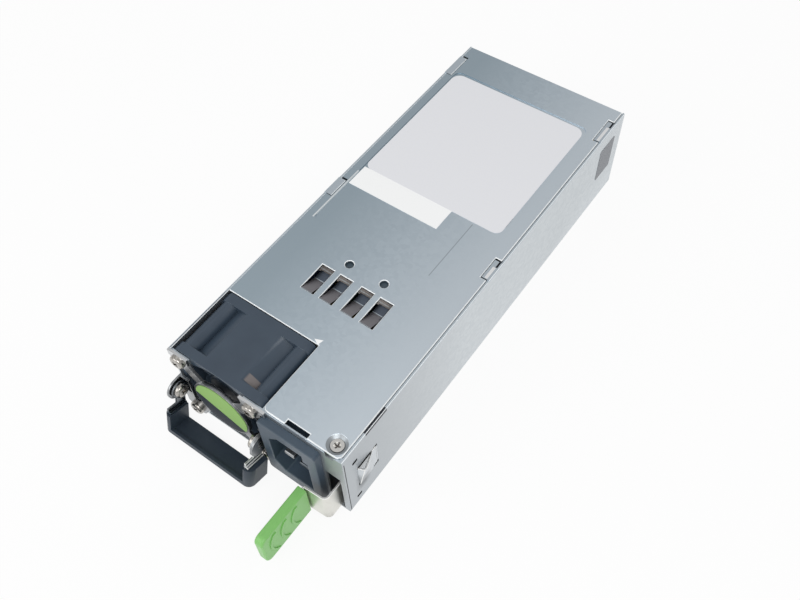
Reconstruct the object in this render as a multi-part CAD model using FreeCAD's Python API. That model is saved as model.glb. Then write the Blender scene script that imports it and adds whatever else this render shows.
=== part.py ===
import FreeCAD, Part
import math
import os

# Hot swap server power supply. The front with fan, inlet and latch faces -Y, the card edge faces +Y.
# The origin is the middle of the underside. All sizes are in millimetres.

V = FreeCAD.Vector
os.makedirs("parts", exist_ok=True)

# Case
LENGTH = 185.0
WIDTH = 73.5
HEIGHT = 39.0
SHEET = 0.8
FIT = 0.1
GAP = 0.3
PAST = 1.0
WALL_DROP = 0.3
HALF = WIDTH / 2
INNER = HALF - SHEET
FRONT = -LENGTH / 2
BACK = LENGTH / 2
COVER_TOP = HEIGHT
COVER_LOW = HEIGHT - SHEET
TRAY_TOP = COVER_LOW - FIT
FRONT_FLANGE = 10.0
BOSS_FLOOR = 2.0
SIDE_SLOT_FRONT = 4.6
SIDE_SLOT_REAR = 6.85
SIDE_SLOT_HALF = 0.4
SIDE_SLOT_LOW = 4.1
SIDE_SLOT_DROP = 9.1
CROSS_REACH = 2.6
CROSS_WIDTH = 0.75
HEAD_ROUND_SHARE = 0.55
CROSS_SHARE = 0.5

# Room that the inlet and the latch take beside the fan
INLET_FLANGE_WIDTH = 24.0
LATCH_ROOM = 9.7

# Fan
FAN_WIDTH = WIDTH - INLET_FLANGE_WIDTH - LATCH_ROOM
FAN_DEPTH = 28.0
FAN_TUNNEL_RIM = 0.6
FAN_TUNNEL_WALL = 2.0
FAN_POST_WALL = 1.0
FAN_CORNER_R = 3.0
FAN_FLANGE_FRONT = 3.7
FAN_FLANGE_REAR = 3.9
FAN_HOLE_INSET = 3.0
FAN_SCREW_R = 2.0
FAN_SCREW_LENGTH = 8.0
FAN_HUB_SETBACK = 2.6
FAN_HUB_R = 10.5
FAN_HUB_WALL = 1.2
FAN_HUB_LENGTH = 17.0
FAN_HUB_FACE = 1.6
FAN_HUB_ROUND = 1.4
FAN_SEAT_WALL = 1.2
FAN_SEAT_START = 1.0
FAN_SEAT_LENGTH = 3.0
FAN_BLADES = 7
FAN_BLADE_THICK = 1.1
FAN_BLADE_INSET = 1.2
FAN_BLADE_SHORTER = 4.0
FAN_BLADE_SINK = 0.4
BLADE_ROOT_SWEEP = 46.0
BLADE_TIP_SWEEP = 32.0
FAN_TIP_GAP = 0.5
FAN_SHAFT_R = 1.5
FAN_SHAFT_RUN = 0.05
FAN_SHAFT_END_GAP = 1.0
FAN_STRUTS = 4
FAN_STRUT_WIDTH = 2.2
FAN_STRUT_TURN = 45.0
FAN_REAR_PLATE = 2.6
FAN_END_WALL = 0.8
FAN_BASE_INSET = 0.2
FAN_TUBE_R = 3.6
FAN_STEM_LENGTH = 12.0
FAN_BEARING_LENGTH = 3.0
FAN_BEARING_WALL = 1.0
FAN_BEARING_INSET = 0.5
FAN_BEARING_END_GAP = 1.2
FAN_STATOR_R = 7.6
FAN_STATOR_LENGTH = 8.0
FAN_STATOR_GAP = 1.0
FAN_POLES = 4
FAN_POLE_DEPTH = 2.0
FAN_POLE_HALF = 2.4
FAN_POLE_INSET = 1.0
FAN_MAGNET_WALL = 1.0
FAN_MAGNET_LENGTH = 9.5
FAN_MAGNET_INSET = 0.6
FAN_SCREW_HEAD_R = 2.9
FAN_SCREW_HEAD_H = 1.8
FAN_FRONT = FRONT + SHEET + FIT
FAN_BACK = FAN_FRONT + FAN_DEPTH
FAN_LEFT = -INNER + FIT
FAN_RIGHT = FAN_LEFT + FAN_WIDTH
FAN_X = (FAN_LEFT + FAN_RIGHT) / 2
FAN_LOW = SHEET + FIT
FAN_TOP = HEIGHT - FIT
FAN_Z = (FAN_LOW + FAN_TOP) / 2
FAN_SIDE = min(FAN_WIDTH, FAN_TOP - FAN_LOW)
FAN_TUNNEL_R = FAN_SIDE / 2 - FAN_TUNNEL_RIM
FAN_HOLE_PITCH = FAN_SIDE - 2 * FAN_HOLE_INSET

# Guard plate in front of the fan
GUARD_SHEET = 1.0
GUARD_DISC_R = 12.3
GUARD_EMBOSS = 0.7
GUARD_ARM = 5.0
GUARD_PAD_R = 4.0
GUARD_LABEL_R = 11.5
GUARD_LABEL_THICK = 0.2
GUARD_TAB_REACH = 6.0
GUARD_TAB_STEP = 2.0
GUARD_TAB_LEAN = 1.0
GUARD_FRONT = FRONT - GUARD_SHEET
EAR_SHEET = 0.8
EAR_R = 4.6
EAR_RIGHT_INSET = 2.05
EAR_LEFT_X = -HALF + FIT
EAR_RIGHT_X = FAN_RIGHT - EAR_RIGHT_INSET

# Bail handle
PIVOT_REACH = 3.4
PIVOT_Z = 17.2
PIVOT_SHANK_R = 1.5
PIVOT_RUN = 0.05
PIVOT_HEAD_R = 3.0
PIVOT_HEAD_H = 1.7
HANDLE_TILT = -15.0
ARM_SHEET = 0.8
ARM_EYE_R = 3.7
ARM_WIDTH = 4.4
ARM_TAIL = 12.6
ARM_FLANGE_AT = 7.4
ARM_FLANGE_REACH = 1.8
ARM_FLANGE_INSET = 0.8
ARM_HEEL = 1.6
GRIP_TOP = 8.2
GRIP_BOTTOM = 17.0
GRIP_FRONT = 7.0
GRIP_REAR = 2.0
GRIP_LIP = 1.2
GRIP_FLOOR = 1.0
GRIP_END_WALL = 3.4
GRIP_LIP_TOP = 15.2
GRIP_OVERHANG = 0.35
GRIP_CORNER_R = 2.8
GRIP_INNER_R = 1.0
PIVOT_Y = FRONT - PIVOT_REACH

# Mains inlet
INLET_FLANGE_LEFT = FAN_RIGHT + FIT / 2
INLET_FLANGE_LOW = 2.2
INLET_FLANGE_DROP = 3.0
INLET_FLANGE_HEIGHT = HEIGHT - INLET_FLANGE_DROP - INLET_FLANGE_LOW
INLET_FLANGE_DEPTH = 3.2
INLET_CAVITY_WIDTH = 16.4
INLET_CAVITY_HEIGHT = 24.0
INLET_CAVITY_CHAMFER = 4.4
INLET_CHAMFER_GROWTH = 0.4
INLET_CAVITY_DEPTH = 17.0
INLET_RISE = 0.5
INLET_WALL = 1.6
INLET_CORNER_R = 1.5
INLET_KEY_WIDTH = 2.0
INLET_KEY_HEIGHT = 4.2
PIN_WIDTH = 4.0
PIN_THICK = 2.0
PIN_SPREAD = 7.0
PIN_ROW = 4.0
EARTH_PIN_SETBACK = 1.7
LIVE_PIN_SETBACK = 3.4
PIN_TIP_R = 0.5
PIN_TAIL = 3.0
PIN_TAIL_THICK = 1.0
PIN_TAIL_BACK = 3.6
PIN_STICKOUT = 1.0
LINE_TAIL_SHIFT = 2.2
NEUTRAL_TAIL_SHIFT = -2.0
INLET_FACE = FRONT - INLET_FLANGE_DEPTH
INLET_X = INLET_FLANGE_LEFT + INLET_FLANGE_WIDTH / 2
INLET_Z = INLET_FLANGE_LOW + INLET_FLANGE_HEIGHT / 2 + INLET_RISE
INLET_FLANGE_RIGHT = INLET_FLANGE_LEFT + INLET_FLANGE_WIDTH
INLET_FLANGE_TOP = INLET_FLANGE_LOW + INLET_FLANGE_HEIGHT
INLET_REAR = INLET_FACE + INLET_CAVITY_DEPTH + INLET_WALL

# Latch spring in the right wall
LATCH_SHEET = 0.7
LATCH_WALL_GAP = 0.3
LATCH_ROOT = 36.0
LATCH_FOOT_LENGTH = 12.0
LATCH_BACK_LOW = 6.0
LATCH_BACK_HIGH = 26.0
LATCH_LOW = SHEET + GAP
LATCH_HIGH = 17.0
LATCH_EXIT_X = HALF - 3.55
LATCH_JOG_FRONT = 1.9
LATCH_JOG_REAR = 5.0
LATCH_REACH = 6.2
LATCH_BEND_R = 0.3
LATCH_CORNER_R = 1.5
LATCH_LEAN = 0.4
LATCH_OPENING_LEFT = HALF - 7.85
LATCH_OPENING_RIGHT = HALF - 1.95
LATCH_OPENING_TOP = 23.5
LATCH_STRIP_END = 2.0
LATCH_PLATE_INSET = 0.6
TOOTH_OUT = 2.55
TOOTH_LOW = 11.1
TOOTH_HIGH = 23.1
TOOTH_TIP = 7.9
TOOTH_FRONT = 6.5
TOOTH_REAR = 14.4
TOOTH_PLATE_REAR = 16.4
TOOTH_CREST = 0.8
TOOTH_FOOT = 0.3
TOOTH_SHELL = 0.6
WINDOW_FRONT = 6.2
WINDOW_REAR = 17.1
WINDOW_LOW = 10.7
WINDOW_HIGH = 23.8
LATCH_GRIP_WIDTH = 3.6
LATCH_GRIP_LENGTH = 22.5
LATCH_GRIP_START = 7.5
LATCH_GRIP_LEFT = HALF - 14.65
LATCH_GRIP_LOW = 0.4
LATCH_GRIP_HIGH = 17.2
LATCH_GRIP_R = 2.8
LATCH_GRIP_EDGE_R = 0.8
LATCH_TONGUE = 16.0
LATCH_TONGUE_MARGIN = 2.5
LATCH_TONGUE_ROOT = 1.0
LATCH_RIDGES = 3
RIDGE_R = 9.2
RIDGE_WIDTH = 0.9
RIDGE_RISE = 0.35
RIDGE_FIRST = 9.0
RIDGE_PITCH = 5.3
RIDGE_HALF = 6.3
LATCH_OUTER = INNER - LATCH_WALL_GAP
LATCH_INNER = LATCH_OUTER - LATCH_SHEET
LATCH_TONGUE_X = LATCH_GRIP_LEFT + LATCH_GRIP_WIDTH / 2

# Cover details
COVER_FRONT_SETBACK = 0.4
COVER_CUT_DEPTH = 29.3
COVER_CUT_CORNER = 2.0
COVER_CORNER_R = 2.2
COVER_SIDE_GAP = 0.2
COVER_FLANGE = 5.0
COVER_FLANGE_FRONT = 12.0
COVER_SCREW_INSET = 5.0
COVER_SCREW_BACK = 4.34
COVER_DIMPLE_R = 3.8
COVER_DIMPLE_DEPTH = 1.3
COVER_SCREW_R = 1.5
COVER_SCREW_HEAD_R = 2.3
COVER_SCREW_SHANK = 4.5
COVER_SCREW_CROSS = 0.6
FRONT_SLOT_LEFT = INLET_X - 2.35
FRONT_SLOT_RIGHT = INLET_X + 6.7
FRONT_SLOT_DEPTH = 2.3
FRONT_SLOT_WELL = 4.0
FRONT_SLOT_WELL_DROP = 8.1
LOUVRE_FRONT = 44.5
LOUVRE_LENGTH = 12.2
LOUVRE_WIDTH = 5.5
LOUVRE_STARTS = (-15.86, -7.72, 1.64, 9.8)
LOUVRE_DROP = 2.6
LOUVRE_DIP = 0.02
LOUVRE_CREASE = 0.6
LOUVRE_FOLD = 0.2
LOUVRE_TAIL_GAP = 1.0
LOUVRE_SIDE_GAP = 0.8
TOOLING_HOLE_R = 1.65
TOOLING_HOLE_BACK = 62.0
TOOLING_HOLE_X = (-7.85, 7.38)
RECESS_DEPTH = 0.3
RECESS_R = 3.0
RECESS_LEFT = -HALF + 4.25
RECESS_RIGHT_FRONT = HALF - 18.75
RECESS_RIGHT_REAR = HALF - 7.25
RECESS_FRONT = 71.4
RECESS_STEP = 102.4
RECESS_REAR = LENGTH - 16.5
LOCK_STARTS = (84.0, LENGTH - 20.0)
LOCK_LENGTHS = (9.0, 12.0)
LOCK_REACH = 2.4

# Labels, all blank
LABEL_THICK = 0.1
RATING_LABEL = (RECESS_LEFT + 0.3, RECESS_RIGHT_REAR - 0.9, RECESS_STEP + 1.6, RECESS_REAR - 1.1)
RATING_LABEL_R = 4.0
STRIP_LABEL = (RECESS_LEFT + 0.5, RECESS_RIGHT_FRONT - 9.8, RECESS_STEP - 9.5, RECESS_STEP - 0.2)
STRIP_LABEL_R = 0.8
SIDE_PATCH = (LENGTH - 17.7, LENGTH - 5.9, 15.0, HEIGHT - 7.3)
SIDE_PATCH_R = 1.0

# Rear wall
CARD_SLOT_SIDE_GAP = 2.0
CARD_SLOT_LOW_GAP = 2.4
CARD_SLOT_HIGH_GAP = 3.0
VENT_R = 1.7
VENT_PITCH = 4.6
VENT_ROW_SHARE = math.sqrt(0.75)
VENT_ROWS = 4
VENT_FIRST_Z = 19.0
VENT_SIDE_MARGIN = 3.2

# Main board
BOARD_THICK = 1.6
BOARD_Z = 5.0
BOARD_SIDE_GAP = 1.4
BOARD_FRONT = 32.0
BOARD_TONGUE_FRONT = 17.0
BOARD_TONGUE_LEFT = INLET_X - 10.0
BOARD_TONGUE_RIGHT = INNER - 5.45
BOARD_BACK = LENGTH - 8.0
BOARD_TONGUE_STEP = 50.0
BOARD_TOP = BOARD_Z + BOARD_THICK
INSULATOR_THICK = 0.3
INSULATOR_MARGIN = 4.0
STANDOFF_R = 2.5
STANDOFF_BORE_R = 1.5
BOARD_SCREW_RUN = 0.05
BOARD_SCREW_HEAD_R = 2.7
BOARD_SCREW_HEAD_H = 1.6
BOARD_SCREW_BITE = 3.0
STANDOFF_X = INNER - 5.95
STANDOFF_MIDDLE = 73.5 + 0.1 * LENGTH
STANDOFF_LEFT = (38.0, STANDOFF_MIDDLE, LENGTH - 14.0)
STANDOFF_RIGHT = (60.0, STANDOFF_MIDDLE, LENGTH - 14.0)
STANDOFF_POINTS = [(-STANDOFF_X, y) for y in STANDOFF_LEFT] + [(STANDOFF_X, y) for y in STANDOFF_RIGHT]

# Power parts on the board, as places behind the front face
PARTS_LEFT = -INNER + 2.95
CASE_ROUND = 1.0
RELAY = (PARTS_LEFT, PARTS_LEFT + 16.0, 44.0, 63.0, 15.5)
X_CAPACITOR = (-12.0, 5.0, 38.0, 55.0, 17.0)
FUSE_R = 3.0
FUSE_LENGTH = 20.0
FUSE_LEFT = INLET_X - 8.0
FUSE_BACK = 27.0
FUSE_CAP = 4.5
FUSE_LIFT = 1.0
CLIP_WALL = 0.8
CLIP_LENGTH = 2.5
CLIP_MOUTH_SHARE = 0.8
CLIP_RISE_SHARE = 0.7
CM_CHOKE = (18.0, 42.0)
CM_CHOKE_R = 9.0
CM_CHOKE_BORE = 4.6
CM_CHOKE_HEIGHT = 8.0
CM_WINDINGS = ((20, 140), (200, 140))
WINDING = 1.8
WINDING_CLEAR = 0.1
Y_CAPACITOR_R = 3.4
Y_CAPACITOR_THICK = 2.6
Y_CAPACITORS = ((-9.0, 59.0), (-1.0, 59.0))
HEAT_SINK_THICK = 3.0
PFC_SINK = (-7.0, 66.0, 26.0)
SINK_HEIGHT = 26.0
SINK_FIN_WIDTH = 9.0
SINK_FIN_THICK = 1.0
SINK_FIN_PITCH = 2.4
SINK_FINS = 5
PACKAGE_LIFT = 1.5
BRIDGE = (4.0, 20.0, 17.0)
BRIDGE_INSET = 3.0
TRANSISTOR = (3.6, 10.0, 10.0)
TRANSISTORS = (2.0, 14.0)
RECTIFIER = (3.6, 7.0, 12.0)
RECTIFIER_INSET = 0.5
RECTIFIER_PITCH = 8.0
PFC_CHOKE = (13.5, 39.3 + 0.22 * LENGTH)
PFC_CHOKE_R = 11.6
PFC_CHOKE_BORE = 5.4
PFC_CHOKE_HEIGHT = 10.0
PFC_WINDINGS = ((15, 330),)
STANDBY = (PARTS_LEFT, PARTS_LEFT + 17.0, 67.0, 87.0, 18.0)
STANDBY_BASE = 4.0
RESONANT_WIDTH = 11.0
RESONANT_RIGHT = INNER - 4.45
BULK_BACK = 52.5 + 0.3 * LENGTH
RESONANT_CHOKE = (RESONANT_RIGHT - RESONANT_WIDTH, RESONANT_RIGHT, BULK_BACK - 8.0, BULK_BACK + 9.0, 17.0)
BULK_LEFT = -INNER + 2.85
BULK_GAP = 1.8
BULK_CHOKE_GAP = 1.4
BULK_HEADROOM = 2.3
BULK_CAPACITOR_R = (RESONANT_CHOKE[0] - BULK_CHOKE_GAP - BULK_LEFT - BULK_GAP) / 4
BULK_CAPACITOR_HEIGHT = COVER_LOW - RECESS_DEPTH - BULK_HEADROOM - BOARD_TOP
BULK_CAPACITORS = (
    (BULK_LEFT + BULK_CAPACITOR_R, BULK_BACK),
    (BULK_LEFT + 3 * BULK_CAPACITOR_R + BULK_GAP, BULK_BACK),
)
CAN_ROUND = 1.2
CRIMP_DEPTH = 0.7
CRIMP_LOW = 3.0
CRIMP_WIDTH = 1.2
REAR_ROW = BULK_BACK + 16.0
TRANSFORMER = (-27.0, 1.0, REAR_ROW, LENGTH - 35.0, 26.0)
TRANSFORMER_LEG = 6.0
CORE_INSET = 3.0
BOBBIN_END = 2.5
OUTPUT_SINK = (9.0, REAR_ROW, LENGTH - 37.0 - REAR_ROW)
OUTPUT_CAPACITOR_R = 4.0
OUTPUT_CAPACITOR_ROUND = 0.6
OUTPUT_CAPACITOR_HEIGHT = 12.0
OUTPUT_CAPACITOR_BACK = LENGTH - 29.0
OUTPUT_CAPACITORS = (-28.0, -18.0, -8.0, 2.0)
CONTROL_CARD = (26.0, REAR_ROW, LENGTH - 27.0 - REAR_ROW, 22.0)
CONTROL_CARD_THICK = 1.2
CONTROL_CHIPS = ((4.0, 6.0, 7.0), (15.0, 9.0, 9.0), (27.0, 5.0, 5.0))
CHIP_THICK = 1.2
FAN_PLUG = (-20.0, 38.0, 8.0, 4.6)
FAN_PLUG_HEIGHT = 5.0
FAN_PLUG_INSET = 0.4
FAN_HEADER_HEIGHT = 3.2
FAN_LEAD_R = 0.8
FAN_LEAD_BEND = 8.0
FAN_LEAD_DROP = 0.6

# Output card with its edge contacts
CARD_HALF = 26.0
CARD_FRONT = LENGTH - 23.0
CARD_REACH = 8.3
CARD_LIFT = 3.0
CARD_CONTACTS = 20
CARD_CONTACT_WIDTH = 1.5
CARD_CONTACT_LENGTH = 7.0
CARD_CONTACT_THICK = 0.1
CARD_CONTACT_MARGIN = 1.6
CARD_CONTACT_END = 0.5
CARD_CHAMFER = 0.4
CARD_POST_R = 2.4
CARD_POST_INSET = 3.5
CARD_POST_SIDE = 5.0
CARD_Z = BOARD_TOP + CARD_LIFT


def back(distance):
    """Return the Y place a distance behind the front face."""
    return FRONT + distance


def box(x, y, z):
    """Return a block between low and high values on each axis."""
    return Part.makeBox(x[1] - x[0], y[1] - y[0], z[1] - z[0], V(x[0], y[0], z[0]))


def rod(radius, start, end):
    """Return a round bar from one point to another."""
    line = V(*end) - V(*start)
    return Part.makeCylinder(radius, line.Length, V(*start), line)


def tube(outer, inner, start, end):
    """Return a round tube from one point to another."""
    return rod(outer, start, end).cut(rod(inner, start, end))


def lift(axis, low, a, b):
    """Place two plane values at a height on one axis."""
    if axis == "x":
        return V(low, a, b)
    if axis == "y":
        return V(a, low, b)
    return V(a, b, low)


def prism(points, axis, low, high):
    """Return an outline of plane points pushed along one axis."""
    corners = [lift(axis, low, a, b) for a, b in points]
    face = Part.Face(Part.makePolygon(corners + corners[:1]))
    return face.extrude(lift(axis, high, 0, 0) - lift(axis, low, 0, 0))


def along(edge, axis):
    """Say whether a straight edge runs along an axis."""
    if edge.Curve.TypeId != "Part::GeomLine":
        return False
    direction = edge.Vertexes[-1].Point - edge.Vertexes[0].Point
    direction.normalize()
    return abs(abs(direction.dot(axis)) - 1) < 1e-6


def rounded(shape, radius, axis, keep=None):
    """Round the straight edges that run along an axis, or those that keep picks."""
    edges = [edge for edge in shape.Edges if along(edge, axis)]
    if keep:
        edges = [edge for edge in edges if keep(edge.CenterOfMass)]
    return shape.makeFillet(radius, edges)


def slab(x, y, z, radius):
    """Return a block with its upright edges rounded."""
    return rounded(box(x, y, z), radius, V(0, 0, 1))


def fuse(shapes):
    """Join shapes into one and drop the seams between them."""
    joined = shapes[0]
    for shape in shapes[1:]:
        joined = joined.fuse(shape)
    return joined.removeSplitter()


def cut(shape, tools):
    """Take several shapes out of one."""
    for tool in tools:
        shape = shape.cut(tool)
    return shape.removeSplitter()


def group(shapes):
    """Keep separate solids together in one node."""
    return Part.makeCompound(shapes)


def save(name, shape):
    """Write one node and say how large it is."""
    shape.exportStep("parts/" + name + ".step")
    print(f"{name:26s} solids {len(shape.Solids):3d} volume {shape.Volume:10.1f} valid {shape.isValid()}")


def cross_recess(centre, axis, depth):
    """Return the cross that is cut into a screw head, centred on its face."""
    direction = V(*axis)
    start = V(*centre) - direction * depth
    bars = []
    for turn in (45, 135):
        bar = Part.makeBox(CROSS_REACH, CROSS_WIDTH, 2 * depth, V(-CROSS_REACH / 2, -CROSS_WIDTH / 2, 0))
        bar.rotate(V(0, 0, 0), V(0, 0, 1), turn)
        aim = FreeCAD.Placement(start, FreeCAD.Rotation(V(0, 0, 1), direction))
        bar.Placement = aim.multiply(bar.Placement)
        bars.append(bar)
    return bars[0].fuse(bars[1])


def pan_screw(seat, axis, head_r, head_h, shank_r, shank_length):
    """Return a pan head screw whose head stands on a seat and points along an axis."""
    base = V(*seat)
    out = V(*axis)
    head = Part.makeCylinder(head_r, head_h, base, out)
    rim = [edge for edge in head.Edges if abs((edge.CenterOfMass - base).dot(out) - head_h) < 1e-6]
    head = head.makeFillet(head_h * HEAD_ROUND_SHARE, [edge for edge in rim if edge.Length > head_r])
    head = head.cut(cross_recess(tuple(base + out * head_h), axis, head_h * CROSS_SHARE))
    return head.fuse(Part.makeCylinder(shank_r, shank_length, base, out * -1))


def screw_points():
    """Return the fan's screw places as X and Z."""
    half = FAN_HOLE_PITCH / 2
    return [(FAN_X + i * half, FAN_Z + j * half) for i in (-1, 1) for j in (-1, 1)]


# Tray

def tray_lips():
    """Return the small lips that the fan and its guard are screwed to."""
    half = FAN_HOLE_PITCH / 2
    reach = GUARD_PAD_R
    y = (FRONT, FRONT + SHEET)
    left, right = FAN_X - half, FAN_X + half
    low, high = FAN_Z - half, FAN_Z + half
    return [
        box((-HALF, left + reach), y, (0, low + reach)),
        box((right - reach, FAN_RIGHT + SHEET), y, (0, low + reach)),
        box((-HALF, left + reach), y, (high - reach, TRAY_TOP)),
        box((right - reach, FAN_RIGHT + SHEET), y, (high - reach, TRAY_TOP)),
    ]


def tray_front():
    """Return the front wall right of the fan, with its top flange and screw boss."""
    wall = box((FAN_RIGHT + FIT, HALF), (FRONT, FRONT + SHEET), (0, TRAY_TOP))
    tab = box((FRONT_SLOT_LEFT, FRONT_SLOT_RIGHT), (FRONT, FRONT + SHEET / 2),
              (TRAY_TOP - SHEET, COVER_TOP - FIT))
    flange = box((FAN_RIGHT + FIT, HALF), (FRONT, back(FRONT_FLANGE)), (TRAY_TOP - SHEET, TRAY_TOP))
    x, y = INNER - COVER_SCREW_INSET + SHEET, back(COVER_SCREW_BACK)
    seat = TRAY_TOP - COVER_DIMPLE_DEPTH - 2 * GAP
    boss = rod(COVER_DIMPLE_R + 2 * SHEET, (x, y, seat - BOSS_FLOOR), (x, y, TRAY_TOP))
    boss = boss.common(box((FAN_RIGHT, INNER), (FRONT, BACK), (0, HEIGHT)))
    well = rod(COVER_DIMPLE_R + SHEET, (x, y, seat), (x, y, HEIGHT))
    thread = rod(COVER_SCREW_R + FIT / 2, (x, y, 0), (x, y, HEIGHT))
    slot = box((FRONT_SLOT_LEFT - GAP, FRONT_SLOT_RIGHT + GAP), (FRONT + SHEET, back(FRONT_SLOT_WELL)),
               (TRAY_TOP - FRONT_SLOT_WELL_DROP, HEIGHT))
    inlet = box(
        (INLET_X - INLET_CAVITY_WIDTH / 2 - INLET_WALL - FIT,
         INLET_X + INLET_CAVITY_WIDTH / 2 + INLET_WALL + FIT),
        (FRONT - PAST, FRONT + SHEET + PAST),
        (INLET_Z - INLET_CAVITY_HEIGHT / 2 - INLET_WALL - FIT,
         INLET_Z + INLET_CAVITY_HEIGHT / 2 + INLET_WALL + FIT),
    )
    mouth = box((LATCH_OPENING_LEFT, LATCH_OPENING_RIGHT), (FRONT - PAST, FRONT + SHEET + PAST),
                (SHEET, LATCH_OPENING_TOP))
    return cut(fuse([wall, flange, boss]), [well, thread, slot, inlet, mouth]).fuse(tab)


def tray_rear():
    """Return the rear wall with the card slot and rows of vent holes."""
    wall = box((-HALF, HALF), (BACK - SHEET, BACK), (0, TRAY_TOP))
    y = (BACK - SHEET - PAST, BACK + PAST)
    half = CARD_HALF + CARD_SLOT_SIDE_GAP
    slot = box((-half, half), y, (CARD_Z - CARD_SLOT_LOW_GAP, CARD_Z + BOARD_THICK + CARD_SLOT_HIGH_GAP))
    vents = []
    columns = int((2 * INNER - 2 * VENT_SIDE_MARGIN) / VENT_PITCH)
    for row in range(VENT_ROWS):
        z = VENT_FIRST_Z + row * VENT_PITCH * VENT_ROW_SHARE
        for column in range(columns - row % 2):
            x = (column - (columns - 1 - row % 2) / 2) * VENT_PITCH
            vents.append(rod(VENT_R, (x, y[0], z), (x, y[1], z)))
    return cut(wall, [slot, group(vents)])


def lock_tabs(side):
    """Return the wall tabs that are folded in over the cover on one side."""
    tabs = []
    for start, length in zip(LOCK_STARTS, LOCK_LENGTHS):
        x = sorted((side * HALF, side * (INNER - LOCK_REACH)))
        tab = box(x, (back(start), back(start + length)), (COVER_LOW + FIT, COVER_TOP))
        web = box(sorted((side * HALF, side * INNER)), (back(start), back(start + length)),
                  (TRAY_TOP - SHEET, COVER_TOP))
        tabs.append(tab.fuse(web))
    return tabs


def side_slots():
    """Return the two short slots near the front of the right wall."""
    x = (INNER - PAST, HALF + PAST)
    y = (back(SIDE_SLOT_FRONT), back(SIDE_SLOT_REAR))
    return [box(x, y, (z - SIDE_SLOT_HALF, z + SIDE_SLOT_HALF))
            for z in (SIDE_SLOT_LOW, HEIGHT - SIDE_SLOT_DROP)]


def tray():
    """Return the folded sheet tray: floor, side walls, front and rear walls."""
    top = HEIGHT - WALL_DROP
    pieces = [
        box((-HALF, HALF), (FRONT, BACK), (0, SHEET)),
        box((-HALF, -INNER), (FRONT, BACK), (0, top)),
        box((INNER, HALF), (FRONT, BACK), (0, top)),
        tray_front(),
        tray_rear(),
    ]
    pieces += tray_lips() + lock_tabs(-1) + lock_tabs(1)
    shape = fuse(pieces)
    window = box((INNER - PAST, HALF + PAST), (back(WINDOW_FRONT), back(WINDOW_REAR)),
                 (WINDOW_LOW, WINDOW_HIGH))
    holes = [rod(FAN_SCREW_R + FIT, (x, FRONT - PAST, z), (x, FRONT + SHEET + PAST, z))
             for x, z in screw_points()]
    return cut(shape, [window, *side_slots(), *holes])


# Cover

def louvre(start):
    """Return one opening and the tongue that is bent down into it."""
    low, high = start, start + LOUVRE_WIDTH
    front, rear = back(LOUVRE_FRONT), back(LOUVRE_FRONT + LOUVRE_LENGTH)
    crease = front + LOUVRE_CREASE * LOUVRE_LENGTH
    tail = rear - LOUVRE_TAIL_GAP
    opening = box((low, high), (front, rear), (COVER_LOW - PAST, COVER_TOP + PAST))
    outline = [
        (front - FIT, COVER_TOP - LOUVRE_DIP),
        (crease, COVER_TOP - LOUVRE_DROP),
        (tail, COVER_TOP - LOUVRE_DROP),
        (tail, COVER_TOP - LOUVRE_DROP - SHEET),
        (crease - LOUVRE_FOLD, COVER_TOP - LOUVRE_DROP - SHEET),
        (front - FIT, COVER_LOW),
    ]
    return opening, prism(outline, "x", low, high - LOUVRE_SIDE_GAP)


def recess(top, grow=0.0):
    """Return the shallow stepped panel that is pressed into the cover."""
    left = RECESS_LEFT - grow
    front = slab(
        (left, RECESS_RIGHT_FRONT + grow), (back(RECESS_FRONT) - grow, back(RECESS_STEP) + 2 * RECESS_R),
        (top - RECESS_DEPTH, top), RECESS_R,
    )
    rear = slab(
        (left, RECESS_RIGHT_REAR + grow), (back(RECESS_STEP) - grow, back(RECESS_REAR) + grow),
        (top - RECESS_DEPTH, top), RECESS_R,
    )
    fill = box((left, RECESS_RIGHT_FRONT - RECESS_R),
               (back(RECESS_STEP) - RECESS_R, back(RECESS_STEP) + RECESS_R * 2),
               (top - RECESS_DEPTH, top))
    return fuse([front, rear, fill])


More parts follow.
